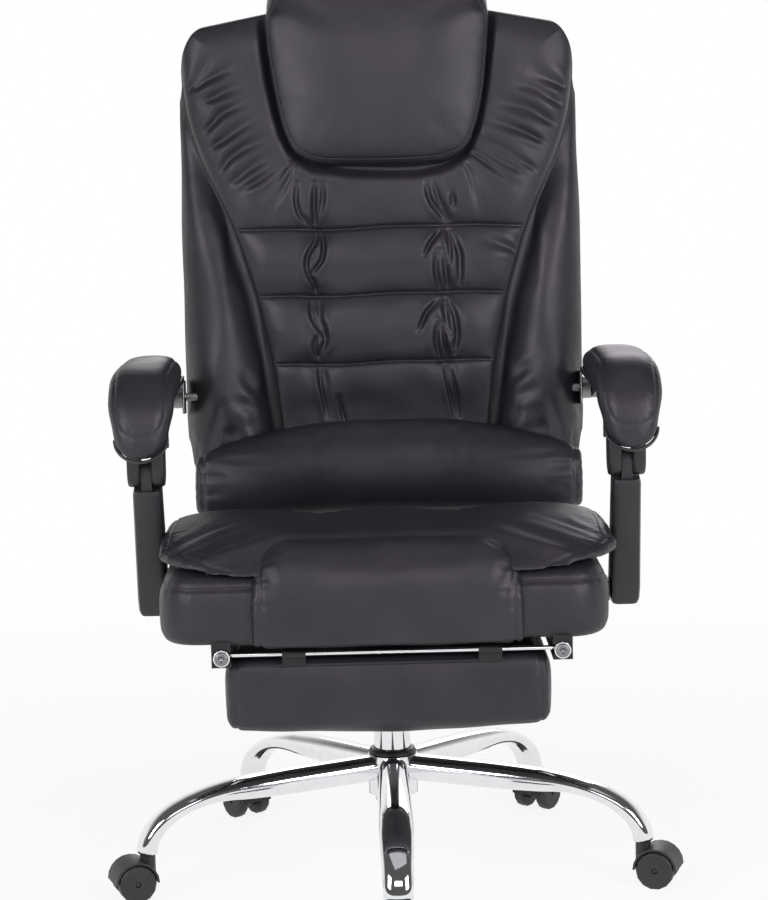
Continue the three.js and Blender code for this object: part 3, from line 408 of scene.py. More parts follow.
def puffed(obj, held, pressure, cap):
    """Swells a cushion as cloth under pressure, except where it is held. No point moves past the cap."""
    group = obj.vertex_groups.new(name="held")
    group.add([int(i) for i in np.flatnonzero(held)], 1, "REPLACE")
    cloth = obj.modifiers.new("cloth", "CLOTH")
    cloth.settings.quality = 5
    cloth.settings.vertex_group_mass = "held"
    cloth.settings.use_pressure = True
    cloth.settings.uniform_pressure_force = pressure
    cloth.settings.effector_weights.gravity = 0
    cloth.settings.bending_stiffness = 0.6
    cloth.settings.tension_stiffness = 15
    cloth.settings.compression_stiffness = 15
    cloth.collision_settings.use_collision = False
    cloth.point_cache.frame_end = CLOTH_FRAMES
    rest = coordinates(obj)
    for number in range(1, CLOTH_FRAMES + 1):
        scene.frame_set(number)
    shown = obj.evaluated_get(bpy.context.evaluated_depsgraph_get())
    moved = coordinates(shown) - rest
    obj.modifiers.clear()
    obj.vertex_groups.clear()
    scene.frame_set(1)
    length = np.linalg.norm(moved, axis=1)
    moved *= np.minimum(1, cap / np.maximum(length, 1e-9))[:, None]
    set_coordinates(obj, rest + moved)
    return obj


def to_line(points, line):
    """For each point, its distance to a line of points and how far along the line it is."""
    near = np.full(len(points), 1e9)
    along = np.zeros(len(points))
    total = 0.0
    for a, b in zip(line[:-1], line[1:]):
        span = b - a
        length = np.linalg.norm(span)
        share = np.clip(((points - a) @ span) / max(length ** 2, 1e-9), 0, 1)
        distance = np.linalg.norm(points - a - share[:, None] * span, axis=1)
        closer = distance < near
        near[closer] = distance[closer]
        along[closer] = total + share[closer] * length
        total += length
    return near, along, total


def near_line(points, line, reach):
    """Which points are inside the box round a line, grown by a reach."""
    return np.flatnonzero(((points > line.min(0) - reach) & (points < line.max(0) + reach)).all(1))


def subdivided(obj):
    modifier = obj.modifiers.new("finer", "SUBSURF")
    modifier.levels = modifier.render_levels = 1
    return baked(obj)


def seam_loops(obj, point, normal):
    """The lines in which a plane cuts a piece, each an ordered array of points."""
    bm = bmesh.new()
    bm.from_mesh(obj.data)
    everything = bm.verts[:] + bm.edges[:] + bm.faces[:]
    cut = bmesh.ops.bisect_plane(bm, geom=everything, plane_co=Vector(point) * MM, plane_no=Vector(normal))
    edges = dict.fromkeys(e for e in cut["geom_cut"] if isinstance(e, bmesh.types.BMEdge))
    loops = []
    while edges:
        edge = edges.popitem()[0]
        loop = [edge.verts[0], edge.verts[1]]
        while True:
            following = next((e for e in loop[-1].link_edges if e in edges), None)
            if following is None:
                break
            del edges[following]
            loop.append(following.other_vert(loop[-1]))
        loops.append(np.array([v.co[:] for v in loop]) / MM)
    bm.free()
    return sorted(loops, key=len, reverse=True)


def seamed(obj, line, depth, width, pucker, pitch, reach, seed):
    """Draws the surface in along a seam, with small puckers that run away from it."""
    points = coordinates(obj)
    close = near_line(points, line, reach)
    near, along, _ = to_line(points[close], line)
    turn = 2 * math.pi * along / pitch
    wave = np.sin(turn + seed) + 0.6 * np.sin(0.37 * turn + 2.1 * seed) + 0.5 * np.sin(1.73 * turn + 1.3)
    fall = -depth * np.exp(-(near / width) ** 2)
    ripple = pucker * wave / 2.1 * np.exp(-(near / reach * 1.6) ** 2) * (1 - np.exp(-(near / width) ** 2))
    points[close] += (fall + ripple)[:, None] * normals_of(obj)[close]
    set_coordinates(obj, points)
    return obj


def end_seams(obj, x, depth, width, pucker, pitch, reach):
    """Seams across a piece, the same distance from the middle on both sides."""
    for sign in (1, -1):
        loop = seam_loops(obj, (sign * x, 0, 0), (1, 0, 0))[0]
        seamed(obj, loop, depth, width, pucker, pitch, reach, sign)


def upholstered(obj, body, node):
    dressed(obj, "black_leather", body, [node])
    return obj


def piped(name, line, body, radius):
    """A cord of leather sewn into a seam all the way round."""
    line = eased(resampled(line, 4, closed=True), 3, closed=True)
    return dressed(tube(name, line, radius, closed=True), "black_leather", body)


# Camera: the photograph's place, height and slight tilt

CAMERA_AT = (-0.0339, -3.6824, 1.0776)
CAMERA_YAW = math.radians(0.5)
CAMERA_PITCH = math.radians(7.65)
CAMERA_ROLL = math.radians(-1.38)
FOCAL_PIXELS = 2739
PICTURE_HEIGHT = 900
SENSOR = 36

ahead = Vector((math.sin(CAMERA_YAW) * math.cos(CAMERA_PITCH),
                math.cos(CAMERA_YAW) * math.cos(CAMERA_PITCH), -math.sin(CAMERA_PITCH)))
level = Vector((math.cos(CAMERA_YAW), -math.sin(CAMERA_YAW), 0))
above = level.cross(ahead)
camera_right = math.cos(CAMERA_ROLL) * level + math.sin(CAMERA_ROLL) * above
camera_up = -math.sin(CAMERA_ROLL) * level + math.cos(CAMERA_ROLL) * above
camera = link(bpy.data.objects.new("camera", bpy.data.cameras.new("camera")))
camera.matrix_world = Matrix((camera_right, camera_up, -ahead)).transposed().to_4x4()
camera.location = CAMERA_AT
camera.data.sensor_width = SENSOR
camera.data.lens = SENSOR * FOCAL_PIXELS / PICTURE_HEIGHT
scene.camera = camera

# Studio: a white world for the camera and for reflections, soft lamps and a pale floor

scene.view_settings.view_transform = "Standard"
ROOM_DARK = 0.1
world = bpy.data.worlds.new("studio")
scene.world = world
world.use_nodes = True
tree = world.node_tree
tree.nodes.clear()
path = tree.nodes.new("ShaderNodeLightPath")
sees = larger(tree, path.outputs["Is Camera Ray"], path.outputs["Is Glossy Ray"])
sees = larger(tree, sees, path.outputs["Is Transmission Ray"])
dim = add_node(tree, "ShaderNodeBackground", {"Color": (0.9, 0.92, 1, 1), "Strength": 0.3})
white = add_node(tree, "ShaderNodeBackground", {"Color": (1, 1, 1, 1)})
# Reflections find the white backdrop low behind the chair, and a dark room in front of it and above it
room = add_node(tree, "ShaderNodeSeparateXYZ", {0: tree.nodes.new("ShaderNodeTexCoord").outputs["Generated"]})
behind = ranged(tree, room.outputs["Y"], 0, 1, -0.1, 0.25)
below = ranged(tree, room.outputs["Z"], 1, 0, 0.3, 0.65)
glossy = larger(tree, product(tree, behind, below), ROOM_DARK)
tree.links.new(larger(tree, path.outputs["Is Camera Ray"], glossy), white.inputs["Strength"])
choice = add_node(tree, "ShaderNodeMixShader", {0: sees, 1: dim.outputs[0], 2: white.outputs[0]})
sky = tree.nodes.new("ShaderNodeOutputWorld")
tree.links.new(choice.outputs[0], sky.inputs["Surface"])


def lamp(name, at, towards, power, size):
    data = bpy.data.lights.new(name, "AREA")
    data.color = (0.99, 0.935, 1)
    data.energy = power
    data.shape = "RECTANGLE"
    data.size, data.size_y = size
    obj = link(bpy.data.objects.new(name, data))
    obj.location = at
    obj.rotation_euler = (Vector(towards) - Vector(at)).to_track_quat("-Z", "Y").to_euler()


lamp("key_light", (-2.3, -2.7, 1.9), (0, 0, 0.8), 64, (1.3, 1.9))
lamp("fill_light", (2.3, -2.7, 1.7), (0, 0, 0.8), 64, (1.3, 1.9))
lamp("front_light", (0.1, -3.9, 2.3), (0, 0, 0.8), 21, (1.6, 0.9))
lamp("top_light", (0.2, -0.4, 3.2), (0, 0, 0.6), 7, (2.2, 2.2))
lamp("rear_light", (0.4, 3.0, 2.0), (0, 0, 0.7), 30, (2.0, 1.6))


def floor_material():
    """A white floor that the camera and reflections see as white, with the object's soft shadow."""
    material, tree, shader, place = nodes_of("pale_floor")
    scuffs = noise(tree, place, 3, 4)
    tree.links.new(mixed(tree, ranged(tree, scuffs, 0, 1), (0.9, 0.895, 0.89), (0.94, 0.935, 0.93)),
                   shader.inputs["Base Color"])
    shader.inputs["Roughness"].default_value = 0.9
    shader.inputs["Specular IOR Level"].default_value = 0.1
    seen = tree.nodes.new("ShaderNodeLightPath")
    either = larger(tree, seen.outputs["Is Camera Ray"], seen.outputs["Is Glossy Ray"])
    far = add_node(tree, "ShaderNodeVectorMath", {0: place}, operation="LENGTH")
    fading = ranged(tree, far.outputs["Value"], 0.88, 1, 0.7, 2.6)
    glow = add_node(tree, "ShaderNodeEmission", {"Color": (1, 1, 1, 1), "Strength": 1})
    blend = add_node(tree, "ShaderNodeMixShader", {
        0: product(tree, either, fading), 1: shader.outputs[0], 2: glow.outputs[0]})
    out = next(n for n in tree.nodes if n.type == "OUTPUT_MATERIAL")
    tree.links.new(blend.outputs[0], out.inputs["Surface"])
    return material


FLOOR_HALF = 30000
FLOOR_CORNERS = [(x * FLOOR_HALF, y * FLOOR_HALF, 0) for x, y in ((-1, -1), (1, -1), (1, 1), (-1, 1))]
floor = mesh_piece("floor", FLOOR_CORNERS, [(0, 1, 2, 3)])
floor.data.materials.append(floor_material())

# Frame parts that keep their CAD shape get rounded edges, even shading and their own material


def carried_over(node_name, slot, width=1.2):
    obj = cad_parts[node_name]
    obj.data.materials.clear()
    obj.data.materials.append(BY_SLOT[slot])
    weld = obj.modifiers.new("weld", "WELD")
    weld.merge_threshold = 1e-5
    if width:
        bevel = obj.modifiers.new("rounded_edges", "BEVEL")
        bevel.width = width * MM
        bevel.segments = 2
        bevel.limit_method = "ANGLE"
        bevel.angle_limit = math.radians(40)
        bevel.use_clamp_overlap = True
    obj.data.shade_smooth()
    even = obj.modifiers.new("even_shading", "WEIGHTED_NORMAL")
    even.keep_sharp = True


CARRIED = {
    "black_steel": ["cylinder_clip", "lift_mechanism", "slide_guide_left", "slide_guide_right",
                    "hinge_seat_plate_left", "hinge_seat_plate_right", "hinge_back_plate_left",
                    "hinge_back_plate_right", "arm_bracket_left", "arm_bracket_right", "footrest_hinge"],
    "black_plastic": ["height_lever", "recline_lever"],
    "zinc_steel": ["back_arm_stud_left", "back_arm_stud_right"],
    "plywood": ["seat_board", "back_board"],
}
for slot_name, members in CARRIED.items():
    for member in members:
        carried_over(member, slot_name)


# Leather shapes


def smoothstep(value, start, end):
    share = np.clip((np.asarray(value, float) - start) / (end - start), 0, 1)
    return share * share * (3 - 2 * share)


def wander(points, size, seed, waves=7):
    """A smooth random field from -1 to 1 with bumps about a given size across."""
    draw = np.random.default_rng(seed)
    total = np.zeros(len(points))
    for _ in range(waves):
        direction = draw.normal(size=3)
        direction /= np.linalg.norm(direction)
        pace = 2 * math.pi / (size * draw.uniform(0.7, 1.5))
        total += np.sin(points @ direction * pace + draw.uniform(0, 2 * math.pi))
    return total / waves ** 0.5 / 1.5


def uneven(obj, amount, size, seed):
    points = coordinates(obj)
    set_coordinates(obj, points + (amount * wander(points, size, seed))[:, None] * normals_of(obj))
    return obj


def creased(obj, folds, depth, width):
    """Presses tapering folds into a surface, each along a line of points, with a low lip on both sides."""
    points, normals = coordinates(obj), normals_of(obj)
    moved = np.zeros(len(points))
    for line in folds:
        line = eased(resampled(line, 8), 2)
        close = near_line(points, line, 5 * width)
        near, along, total = to_line(points[close], line)
        taper = np.sin(math.pi * np.clip(along / total, 0.02, 0.98)) ** 0.7
        valley = np.exp(-(near / width) ** 2)
        ridge = np.exp(-((near - 2.1 * width) / width) ** 2)
        moved[close] += depth * taper * (0.35 * ridge - valley)
    set_coordinates(obj, points + moved[:, None] * normals)
    return obj


def on_back(folds, yb):
    """Folds given as (x, zb) points, placed at a depth yb of the backrest."""
    return [back_to_world([(x, yb, zb) for x, zb in fold]) for fold in folds]


def quarter_round(distance, width, power=2):
    """Rises from 0 at an edge to 1 at a width from it, like a quarter of a circle."""
    return np.sqrt(1 - (1 - np.clip(distance / width, 0, 1)) ** power)


def soft_interp(value, table, spread):
    """A table of places and sizes, read with its corners eased off."""
    return sum(np.interp(value + spread * step, *table) for step in (-1, -0.5, 0, 0.5, 1)) / 5


def fitted(obj, low, high):
    """Scales a piece along each axis to given limits, where None leaves an axis as it is."""
    points = coordinates(obj)
    for axis, (start, end) in enumerate(zip(low, high)):
        if start is None:
            continue
        was_low, was_high = points[:, axis].min(), points[:, axis].max()
        points[:, axis] = start + (points[:, axis] - was_low) * (end - start) / (was_high - was_low)
    set_coordinates(obj, points)
    return obj


# Overlay: the stitched panel down the middle of the back, with wings that spread to the top corners

OVERLAY_REAR = SEAM_FRONT - 0.3
OVERLAY_FOOT, OVERLAY_TOP = 72.0, 716.0
OVERLAY_SHIFT = 3.5
CHANNELS = (217.0, 314.0, 409.0)
TUFT_X = 92.0
GATHER_REACH = 30.0
OVERLAY_SKIRT = ((-76, 0.998), (-64, 0.99), (-52, 0.97), (-48, 0.94))
WING_CORNER, CORNER_WIDTH_SHARE = 58.0, 0.7
OVERLAY_HALF = np.array([
    (66, 147), (130, 147), (216, 160), (311, 179), (406, 208), (462, 232), (515, 255), (565, 271),
    (610, 277), (645, 280), (730, 280)], float).T


def overlay_half(zb):
    """Half the width of the panel at a height, narrow at the seat and full at the wings."""
    return soft_interp(np.asarray(zb), OVERLAY_HALF, 18)


def overlay_reach(zb):
    """Half the width with the wings' upper corners rounded off."""
    share = np.clip((np.asarray(zb, float) - OVERLAY_TOP + WING_CORNER) / WING_CORNER, 0, 1)
    return overlay_half(zb) - CORNER_WIDTH_SHARE * (WING_CORNER * (1 - np.sqrt(1 - share ** 2)))


def overlay_top(x):
    """The wings' top edge falls away a little towards the sides."""
    return 719 - 0.19 * np.maximum(0, np.abs(x) - 150)


# Folds as (x, zb) points: the tufts' own, the wings' gathers, and the creases by the headrest's corners
TUFT_FOLDS = [
    [(-114, 473), (-117, 448), (-113, 430), (-101, 416)], [(-89, 473), (-91, 443), (-90, 411)],
    [(-77, 472), (-79, 447), (-84, 426)],
    [(-87, 406), (-90, 390), (-102, 372), (-105, 354), (-99, 338)],
    [(-83, 406), (-78, 386), (-81, 364), (-96, 345)], [(-101, 343), (-92, 329), (-92, 315)],
    [(-97, 309), (-99, 286), (-90, 268), (-82, 258)],
    [(-87, 309), (-88, 279), (-81, 268), (-79, 247), (-88, 233), (-87, 222)],
    [(-87, 258), (-96, 247), (-95, 233), (-88, 222)],
    [(-90, 214), (-88, 186), (-79, 140)], [(-85, 213), (-80, 186), (-72, 140)], [(-62, 168), (-55, 130)],
    [(69, 471), (74, 446), (95, 417)], [(79, 473), (85, 449), (101, 417)], [(107, 456), (107, 434)],
    [(98, 403), (101, 378), (101, 356)], [(102, 402), (115, 370), (115, 342), (113, 320)],
    [(83, 374), (80, 346), (87, 314)], [(92, 374), (94, 346), (98, 314)], [(88, 403), (73, 385), (65, 368)],
    [(96, 304), (106, 281), (109, 253), (104, 228)], [(91, 303), (94, 274), (97, 253)],
    [(83, 275), (78, 246), (84, 218)], [(88, 271), (91, 242), (97, 216)], [(82, 303), (65, 286), (54, 261)],
    [(90, 207), (95, 178), (103, 135)], [(96, 207), (105, 174), (108, 135)],
]
WING_FOLDS = [
    [(-247, 631), (-254, 621), (-270, 606)], [(-223, 630), (-241, 621), (-260, 606)],
    [(-213, 605), (-228, 598), (-245, 591)], [(-200, 584), (-220, 574), (-246, 546)],
    [(-186, 559), (-218, 537), (-240, 524)], [(-170, 533), (-190, 525), (-210, 511), (-226, 489)],
    [(-142, 518), (-165, 506), (-214, 471)], [(-134, 504), (-160, 484), (-194, 465)],
    [(239, 615), (256, 608), (275, 599)],
    [(205, 606), (230, 598), (273, 572)], [(184, 581), (213, 575), (261, 545)],
    [(181, 551), (212, 538), (243, 521)], [(143, 531), (172, 520), (233, 480)],
    [(137, 520), (163, 505), (216, 478)], [(172, 381), (190, 374), (206, 356)],
]
HEAD_CREASE = [
    [(-157, 760), (-155, 715), (-150, 665), (-145, 621), (-136, 578), (-128, 547), (-115, 518), (-92, 502),
     (-38, 494), (18, 491)],
    [(168, 760), (163, 713), (156, 656), (146, 600), (137, 550), (122, 515), (97, 498), (61, 491), (18, 491)],
]
CORNER_FOLDS = [
    [(-152, 467), (-137, 486), (-124, 505)], [(-144, 450), (-129, 475), (-117, 500)],
    [(143, 440), (134, 477), (121, 505)], [(174, 482), (151, 499), (128, 515)],
]


def pressed(flat, folds, depth, width, lip, seed, gathered=False):
    """How far folds press into a surface at flat points (x, zb, 0), each fold a little its own depth.
    Gathered folds run out softly at their first end and are deep and narrow near their last one."""
    draw = np.random.default_rng(seed)
    total = np.zeros(len(flat))
    for fold in folds:
        points = np.array([(x, zb, 0.0) for x, zb in fold])
        if gathered:
            inward = points[0] - points[1]
            points = np.vstack([points[0] + inward / np.linalg.norm(inward) * GATHER_REACH, points])
        line = eased(resampled(points, 5), 2)
        own_depth, own_width = depth * draw.uniform(0.75, 1.15), width * draw.uniform(0.8, 1.25)
        close = near_line(flat, line, 6 * width)
        near, along, length = to_line(flat[close], line)
        share = np.clip(along / length, 0.03, 0.97)
        if gathered:
            taper = smoothstep(share, -0.1, 0.6) * smoothstep(share, 1.02, 0.8)
            own_width = own_width * (1.7 - share)
        else:
            taper = np.sin(math.pi * share) ** 0.5
        valley = np.exp(-(near / own_width) ** 2)
        ridge = np.exp(-((near / own_width - 2.1) / 1.2) ** 2)
        total[close] += own_depth * taper * (valley - lip * ridge)
    return total


HEM_HEIGHT, HEM_WIDTH = 8, 7
CROWN_HEIGHT, CROWN_WIDTH = 14, 46
PILLOW_HEIGHT, PILLOW_EASE = 11, 19
STITCH_DEPTH, STITCH_WIDTH = 3.2, 2.2
TUFT_WIDTH = 22
TUCK_DEPTH = 27
HEAD_DENT, HEAD_DENT_WIDTH = 13, 10


def overlay_height(x, zb):
    """How far the panel stands off the back: pillows between the channels, tufts, folds and a soft edge."""
    flat = np.stack([x, zb, np.zeros_like(x)], axis=1)
    off_centre = np.abs(x - OVERLAY_SHIFT)
    to_edge = np.minimum((overlay_reach(zb) - off_centre) * 0.88, overlay_top(x) - zb)
    hem, crown = quarter_round(to_edge, HEM_WIDTH), quarter_round(to_edge, CROWN_WIDTH)
    level = zb - (1.4 * np.sin(x / 47) + 0.7 * np.sin(x / 21 + 1))
    lines = np.array([-20.0, *CHANNELS, 900.0])
    pillow = np.zeros_like(x)
    for low, high in zip(lines[:-1], lines[1:]):
        inside = (level >= low) & (level < high)
        from_line = np.minimum(level - low, high - level)[inside]
        pillow[inside] = PILLOW_HEIGHT * (1 - np.exp(-from_line / PILLOW_EASE))
    nearest = np.min([np.abs(level - line) for line in CHANNELS], axis=0)
    stitched = STITCH_DEPTH * np.exp(-(nearest / STITCH_WIDTH) ** 2)
    tied = np.exp(-(nearest / 20) ** 2)
    tufted = smoothstep(zb, 490, 430) * np.exp(-((off_centre - TUFT_X) / TUFT_WIDTH) ** 2)
    tuck_under = TUCK_DEPTH * smoothstep(zb, 235, 120)
    folds = (pressed(flat, TUFT_FOLDS, 6.2, 3.7, 0.2, seed=3)
             + pressed(flat, WING_FOLDS, 4.2, 6.0, 0.3, seed=4, gathered=True)
             + pressed(flat, CORNER_FOLDS, 3.4, 4.2, 0.35, seed=5, gathered=True))
    sides = [resampled([(x, zb, 0) for x, zb in side], 12) for side in HEAD_CREASE]
    from_head = np.min([to_line(flat, side)[0] for side in sides], axis=0)
    under_head = HEAD_DENT * np.exp(-(from_head / HEAD_DENT_WIDTH) ** 2)
    soft = 1.3 * wander(flat, 85, 5) + 0.4 * wander(flat, 30, 6)
    relief = pillow - (4.5 + 6 * tied) * tufted + soft - tuck_under - under_head
    full = HEM_HEIGHT * hem + (CROWN_HEIGHT + relief) * crown
    return full - (stitched + folds) * smoothstep(to_edge, 0, 12)


def overlay_panel():
    """The panel's front as a grid that is denser at the sides, and a skirt that runs back from its edge."""
    columns, rows, crowding = 400, 420, 0.8
    across = np.sin(np.linspace(-1, 1, columns) * math.pi / 2 * crowding) / math.sin(math.pi / 2 * crowding)
    grid = []
    for share in np.linspace(0, 1, rows):
        x = OVERLAY_SHIFT + across * overlay_reach(OVERLAY_FOOT + (OVERLAY_TOP - OVERLAY_FOOT) * share)
        z = OVERLAY_FOOT + (overlay_top(x) - OVERLAY_FOOT) * share
        grid.append(np.stack([x, np.zeros_like(x), z], axis=1))
    grid = np.array(grid)
    height = overlay_height(*grid.reshape(-1, 3)[:, [0, 2]].T).reshape(rows, columns)
    height[:, 0] = height[:, -1] = height[0] = height[-1] = 0
    grid[:, :, 1] = OVERLAY_REAR - np.maximum(height, 0)
    places = grid.reshape(-1, 3)
    number = np.arange(rows * columns).reshape(rows, columns)
    corners = (number[:-1, :-1], number[:-1, 1:], number[1:, 1:], number[1:, :-1])
    faces = np.stack(corners, axis=2).reshape(-1, 4).tolist()
    ring = np.concatenate([number[0], number[1:, -1], number[-1, -2::-1], number[-2:0:-1, 0]]).tolist()
    edge, count = places[ring], len(ring)
    middle = edge.mean(0)
    skirt = []
    for rear, share in OVERLAY_SKIRT:
        loop = middle + (edge - middle) * share
        loop[:, 1] = rear
        first = len(places) + len(skirt) * count
        before = range(first - count, first) if skirt else ring
        faces += [(before[j], first + j, first + (j + 1) % count, before[(j + 1) % count])
                  for j in range(count)]
        skirt.append(loop)
    places = np.vstack([places, *skirt])
    faces.append(range(len(places) - count, len(places)))
    return outward(mesh_piece("back_overlay_panel", back_to_world(places), faces))


upholstered(overlay_panel(), "back", "back_overlay")

# Bolsters and shell of the backrest

STUD_X, STUD_HEIGHT, STUD_BULGE = 256, 182, 17

bolster_obj = from_node("back_bolsters", "back_cushion", 7, 8)
places = back_coordinates(bolster_obj)
puffed(bolster_obj, (places[:, 1] > -30) | (np.abs(places[:, 0]) < 130), 2.5, 9)
subdivided(bolster_obj)
fitted(bolster_obj, (-285, None, None), (293, None, None))
heights = np.arange(88, 672, 8.0)
for sign in (1, -1):
    beside = OVERLAY_SHIFT + sign * (overlay_half(heights) + 10)
    valley = np.stack([beside, np.full_like(heights, -88), heights], axis=1)
    seamed(bolster_obj, back_to_world(valley), 30, 26, 1.0, 40, 60, sign)
uneven(bolster_obj, 1.1, 110, 3)
places = back_coordinates(bolster_obj)
from_stud = (np.abs(places[:, 0] - BACK_SHIFT) - STUD_X) / 34, (places[:, 2] - STUD_HEIGHT) / 62
over_stud = np.exp(-from_stud[0] ** 2 - from_stud[1] ** 2)
places[:, 1] -= STUD_BULGE * over_stud * smoothstep(-places[:, 1], 30, 60)
set_coordinates(bolster_obj, back_to_world(places))
BOLSTER_FOLDS = [
    [(-205, 208), (-186, 188), (-162, 168)], [(-199, 137), (-176, 129), (-158, 117)],
    [(-235, 126), (-206, 112)], [(158, 112), (178, 132), (202, 145)],
    [(170, 180), (196, 200), (228, 212)], [(206, 108), (236, 124)],
    [(-222, 168), (-198, 160), (-172, 142)], [(188, 158), (214, 172), (236, 176)],
]
creased(bolster_obj, on_back(BOLSTER_FOLDS, -84), 2.6, 8)
upholstered(bolster_obj, "back", "back_cushion")

shell_obj = from_node("back_shell_cover", "back_rear_shell", 7, 8)
puffed(shell_obj, back_coordinates(shell_obj)[:, 1] < 20, 2.5, 7)
subdivided(shell_obj)
fitted(shell_obj, (-276, None, None), (284, None, None))
uneven(shell_obj, 0.8, 110, 4)
upholstered(shell_obj, "back", "back_rear_shell")

# Headrest, with a piped seam round its side

HEAD_SEAM = -131
HEAD_TILT = math.radians(-1.5)
SEAM_POINT = back_to_world([(0, HEAD_SEAM, 600)])[0]
SEAM_NORMAL = (0, math.cos(LEAN - HEAD_TILT), -math.sin(LEAN - HEAD_TILT))

head_obj = from_node("headrest_cushion", "headrest", 5, 6)
places = back_coordinates(head_obj)
puffed(head_obj, (places[:, 1] > -96) | (np.abs(places[:, 1] - HEAD_SEAM) < 4), 2.5, 8)
smoothed(head_obj, 28)
subdivided(head_obj)
fitted(head_obj, (-153, None, None), (163, None, None))
seamed(head_obj, seam_loops(head_obj, SEAM_POINT, SEAM_NORMAL)[0], 2.0, 3.5, 0.45, 26, 26, 1.0)
uneven(head_obj, 0.8, 100, 8)
upholstered(head_obj, "back", "headrest")
piped("headrest_piping", seam_loops(head_obj, SEAM_POINT, SEAM_NORMAL)[0], "back", 1.5)

# Lumbar roll: a low bolster across the foot of the back, arched along its top

LUMBAR_HALF = 277.0
LUMBAR_FOOT = -3.0
LUMBAR_FRONT, LUMBAR_REAR = -120.0, -80.0
LUMBAR_SEAM = 266


def lumbar_top(x):
    return 138 - 50 * (np.abs(x) / LUMBAR_HALF) ** 2.4


def lumbar_form():
    """Sections from one end to the other, each from the rear foot round the front to the rear top."""
    rings = []
    for x in np.linspace(-1, 1, 90):
        place = LUMBAR_HALF * math.sin(x * math.pi / 2)
        end = math.sqrt(max(0.0, 1 - abs(x) ** 14))
        top, foot = lumbar_top(place), LUMBAR_FOOT + 10 * abs(x) ** 4
        half = (top - foot) / 2 * (0.72 + 0.28 * end)
        reach = (LUMBAR_REAR - LUMBAR_FRONT) * (0.35 + 0.65 * end)
        rings.append(back_to_world([
            (place, LUMBAR_REAR - reach * abs(math.cos(t)) ** 0.62, (top + foot) / 2 + half * math.sin(t))
            for t in np.linspace(-math.pi / 2, math.pi / 2, 26)]))
    return loft("lumbar_cushion", rings)


lumbar_obj = evened(lumbar_form(), 5, 4)
places = back_coordinates(lumbar_obj)
puffed(lumbar_obj, (places[:, 1] > -88) | (np.abs(np.abs(places[:, 0]) - LUMBAR_SEAM) < 4), 3.0, 8)
smoothed(lumbar_obj, 6)
subdivided(lumbar_obj)
end_seams(lumbar_obj, LUMBAR_SEAM, 2.0, 4, 1.0, 19, 34)
fitted(lumbar_obj, (-271, None, None), (284, None, None))
LUMBAR_FOLDS = [
    [(-104, 118), (-100, 84), (-98, 50)], [(-88, 116), (-82, 88), (-80, 60)],
    [(100, 112), (106, 82), (108, 50)], [(84, 112), (86, 92), (88, 70)],
    [(-262, 62), (-236, 66), (-214, 62)], [(-262, 40), (-240, 38), (-222, 42)],
    [(272, 60), (246, 62), (226, 58)], [(272, 36), (250, 38), (232, 34)],
]
creased(lumbar_obj, on_back(LUMBAR_FOLDS, -113), 1.8, 8)
uneven(lumbar_obj, 0.9, 90, 9)
upholstered(lumbar_obj, "back", "lumbar_roll")

# Plans and profiles of cushions

def rounded_plan(half, front, rear, front_corner, rear_corner, count=160, bow=0.0):
    """A rounded rectangle seen from above, with its front edge bowed a little forward."""
    points = []
    for x, y, r, start in ((half, rear, rear_corner, 0), (-half, rear, rear_corner, 90),
                           (-half, front, front_corner, 180), (half, front, front_corner, 270)):
        cx, cy = x - math.copysign(r, x), y - math.copysign(r, y - (front + rear) / 2)
        points += [(cx + r * math.cos(math.radians(start + a)), cy + r * math.sin(math.radians(start + a)), 0)
                   for a in range(0, 91, 6)]
    line = resampled(points, 4, closed=True)
    line = resampled(line, np.linalg.norm(np.diff(line, axis=0), axis=1).sum() / count, closed=True)[:count]
    share = np.clip(1 - (line[:, 0] / half) ** 2, 0, 1)
    line[:, 1] -= bow * share * (line[:, 1] < (front + rear) / 2)
    return line[:, :2]


def drawn_in(plan, inset):
    along = directions(plan)
    return plan + inset * np.stack([-along[:, 1], along[:, 0]], axis=1)


def profiled(name, plan, profile):
    """A closed form from a plan and a profile of [inset, height] from its foot to its top."""
    rings = [np.column_stack([drawn_in(plan, inset), np.full(len(plan), z)]) for inset, z in profile]
    return loft(name, rings)


def arm_section(width, thick, sides=44):
    """A crowned section: full at the top, flatter beneath."""
    cos, sin = np.cos(full_turn(sides)), np.sin(full_turn(sides))
    across = width * np.sign(cos) * np.abs(cos) ** 0.62
    out = np.where(sin > 0, thick * np.abs(sin) ** 0.9, -thick * np.abs(sin) ** 0.45)
    return across, out


# Leather band round the edge of the back, over the gap that the board leaves between its halves

BAND_REACH, BAND_THICKNESS = 17.0, 9.0
band_plan = rounded_plan(253, 42, 686, 55, 55, count=220)
band_section = arm_section(BAND_REACH, BAND_THICKNESS, 20)
rings = []
for (x, zb), (along_x, along_z) in zip(band_plan, directions(band_plan)):
    rings.append(back_to_world([(x + BACK_SHIFT + along_z * across, high, zb - along_x * across)
                                for across, high in zip(*band_section)]))
dressed(loft("back_edge_band", rings, closed=True), "black_leather", "back")

# Seat: a base cushion, a loose pad on it with two lobes, and a roll over the front edge

SEAT_SEAM = 448.5
SEAT_REAR_SINK = 12.0
FRONT_FOOT_DROP = 18.0
PAD_CHANNEL_X = 92
PAD_REST = 471.0


def rear_sunk(points):
    """The seat's upper side falls away towards the backrest."""
    points = points.copy()
    height_share = np.clip((points[:, 2] - 400) / 70, 0, 1)
    points[:, 2] -= SEAT_REAR_SINK * smoothstep(points[:, 1], 30, 170) * height_share
    return points


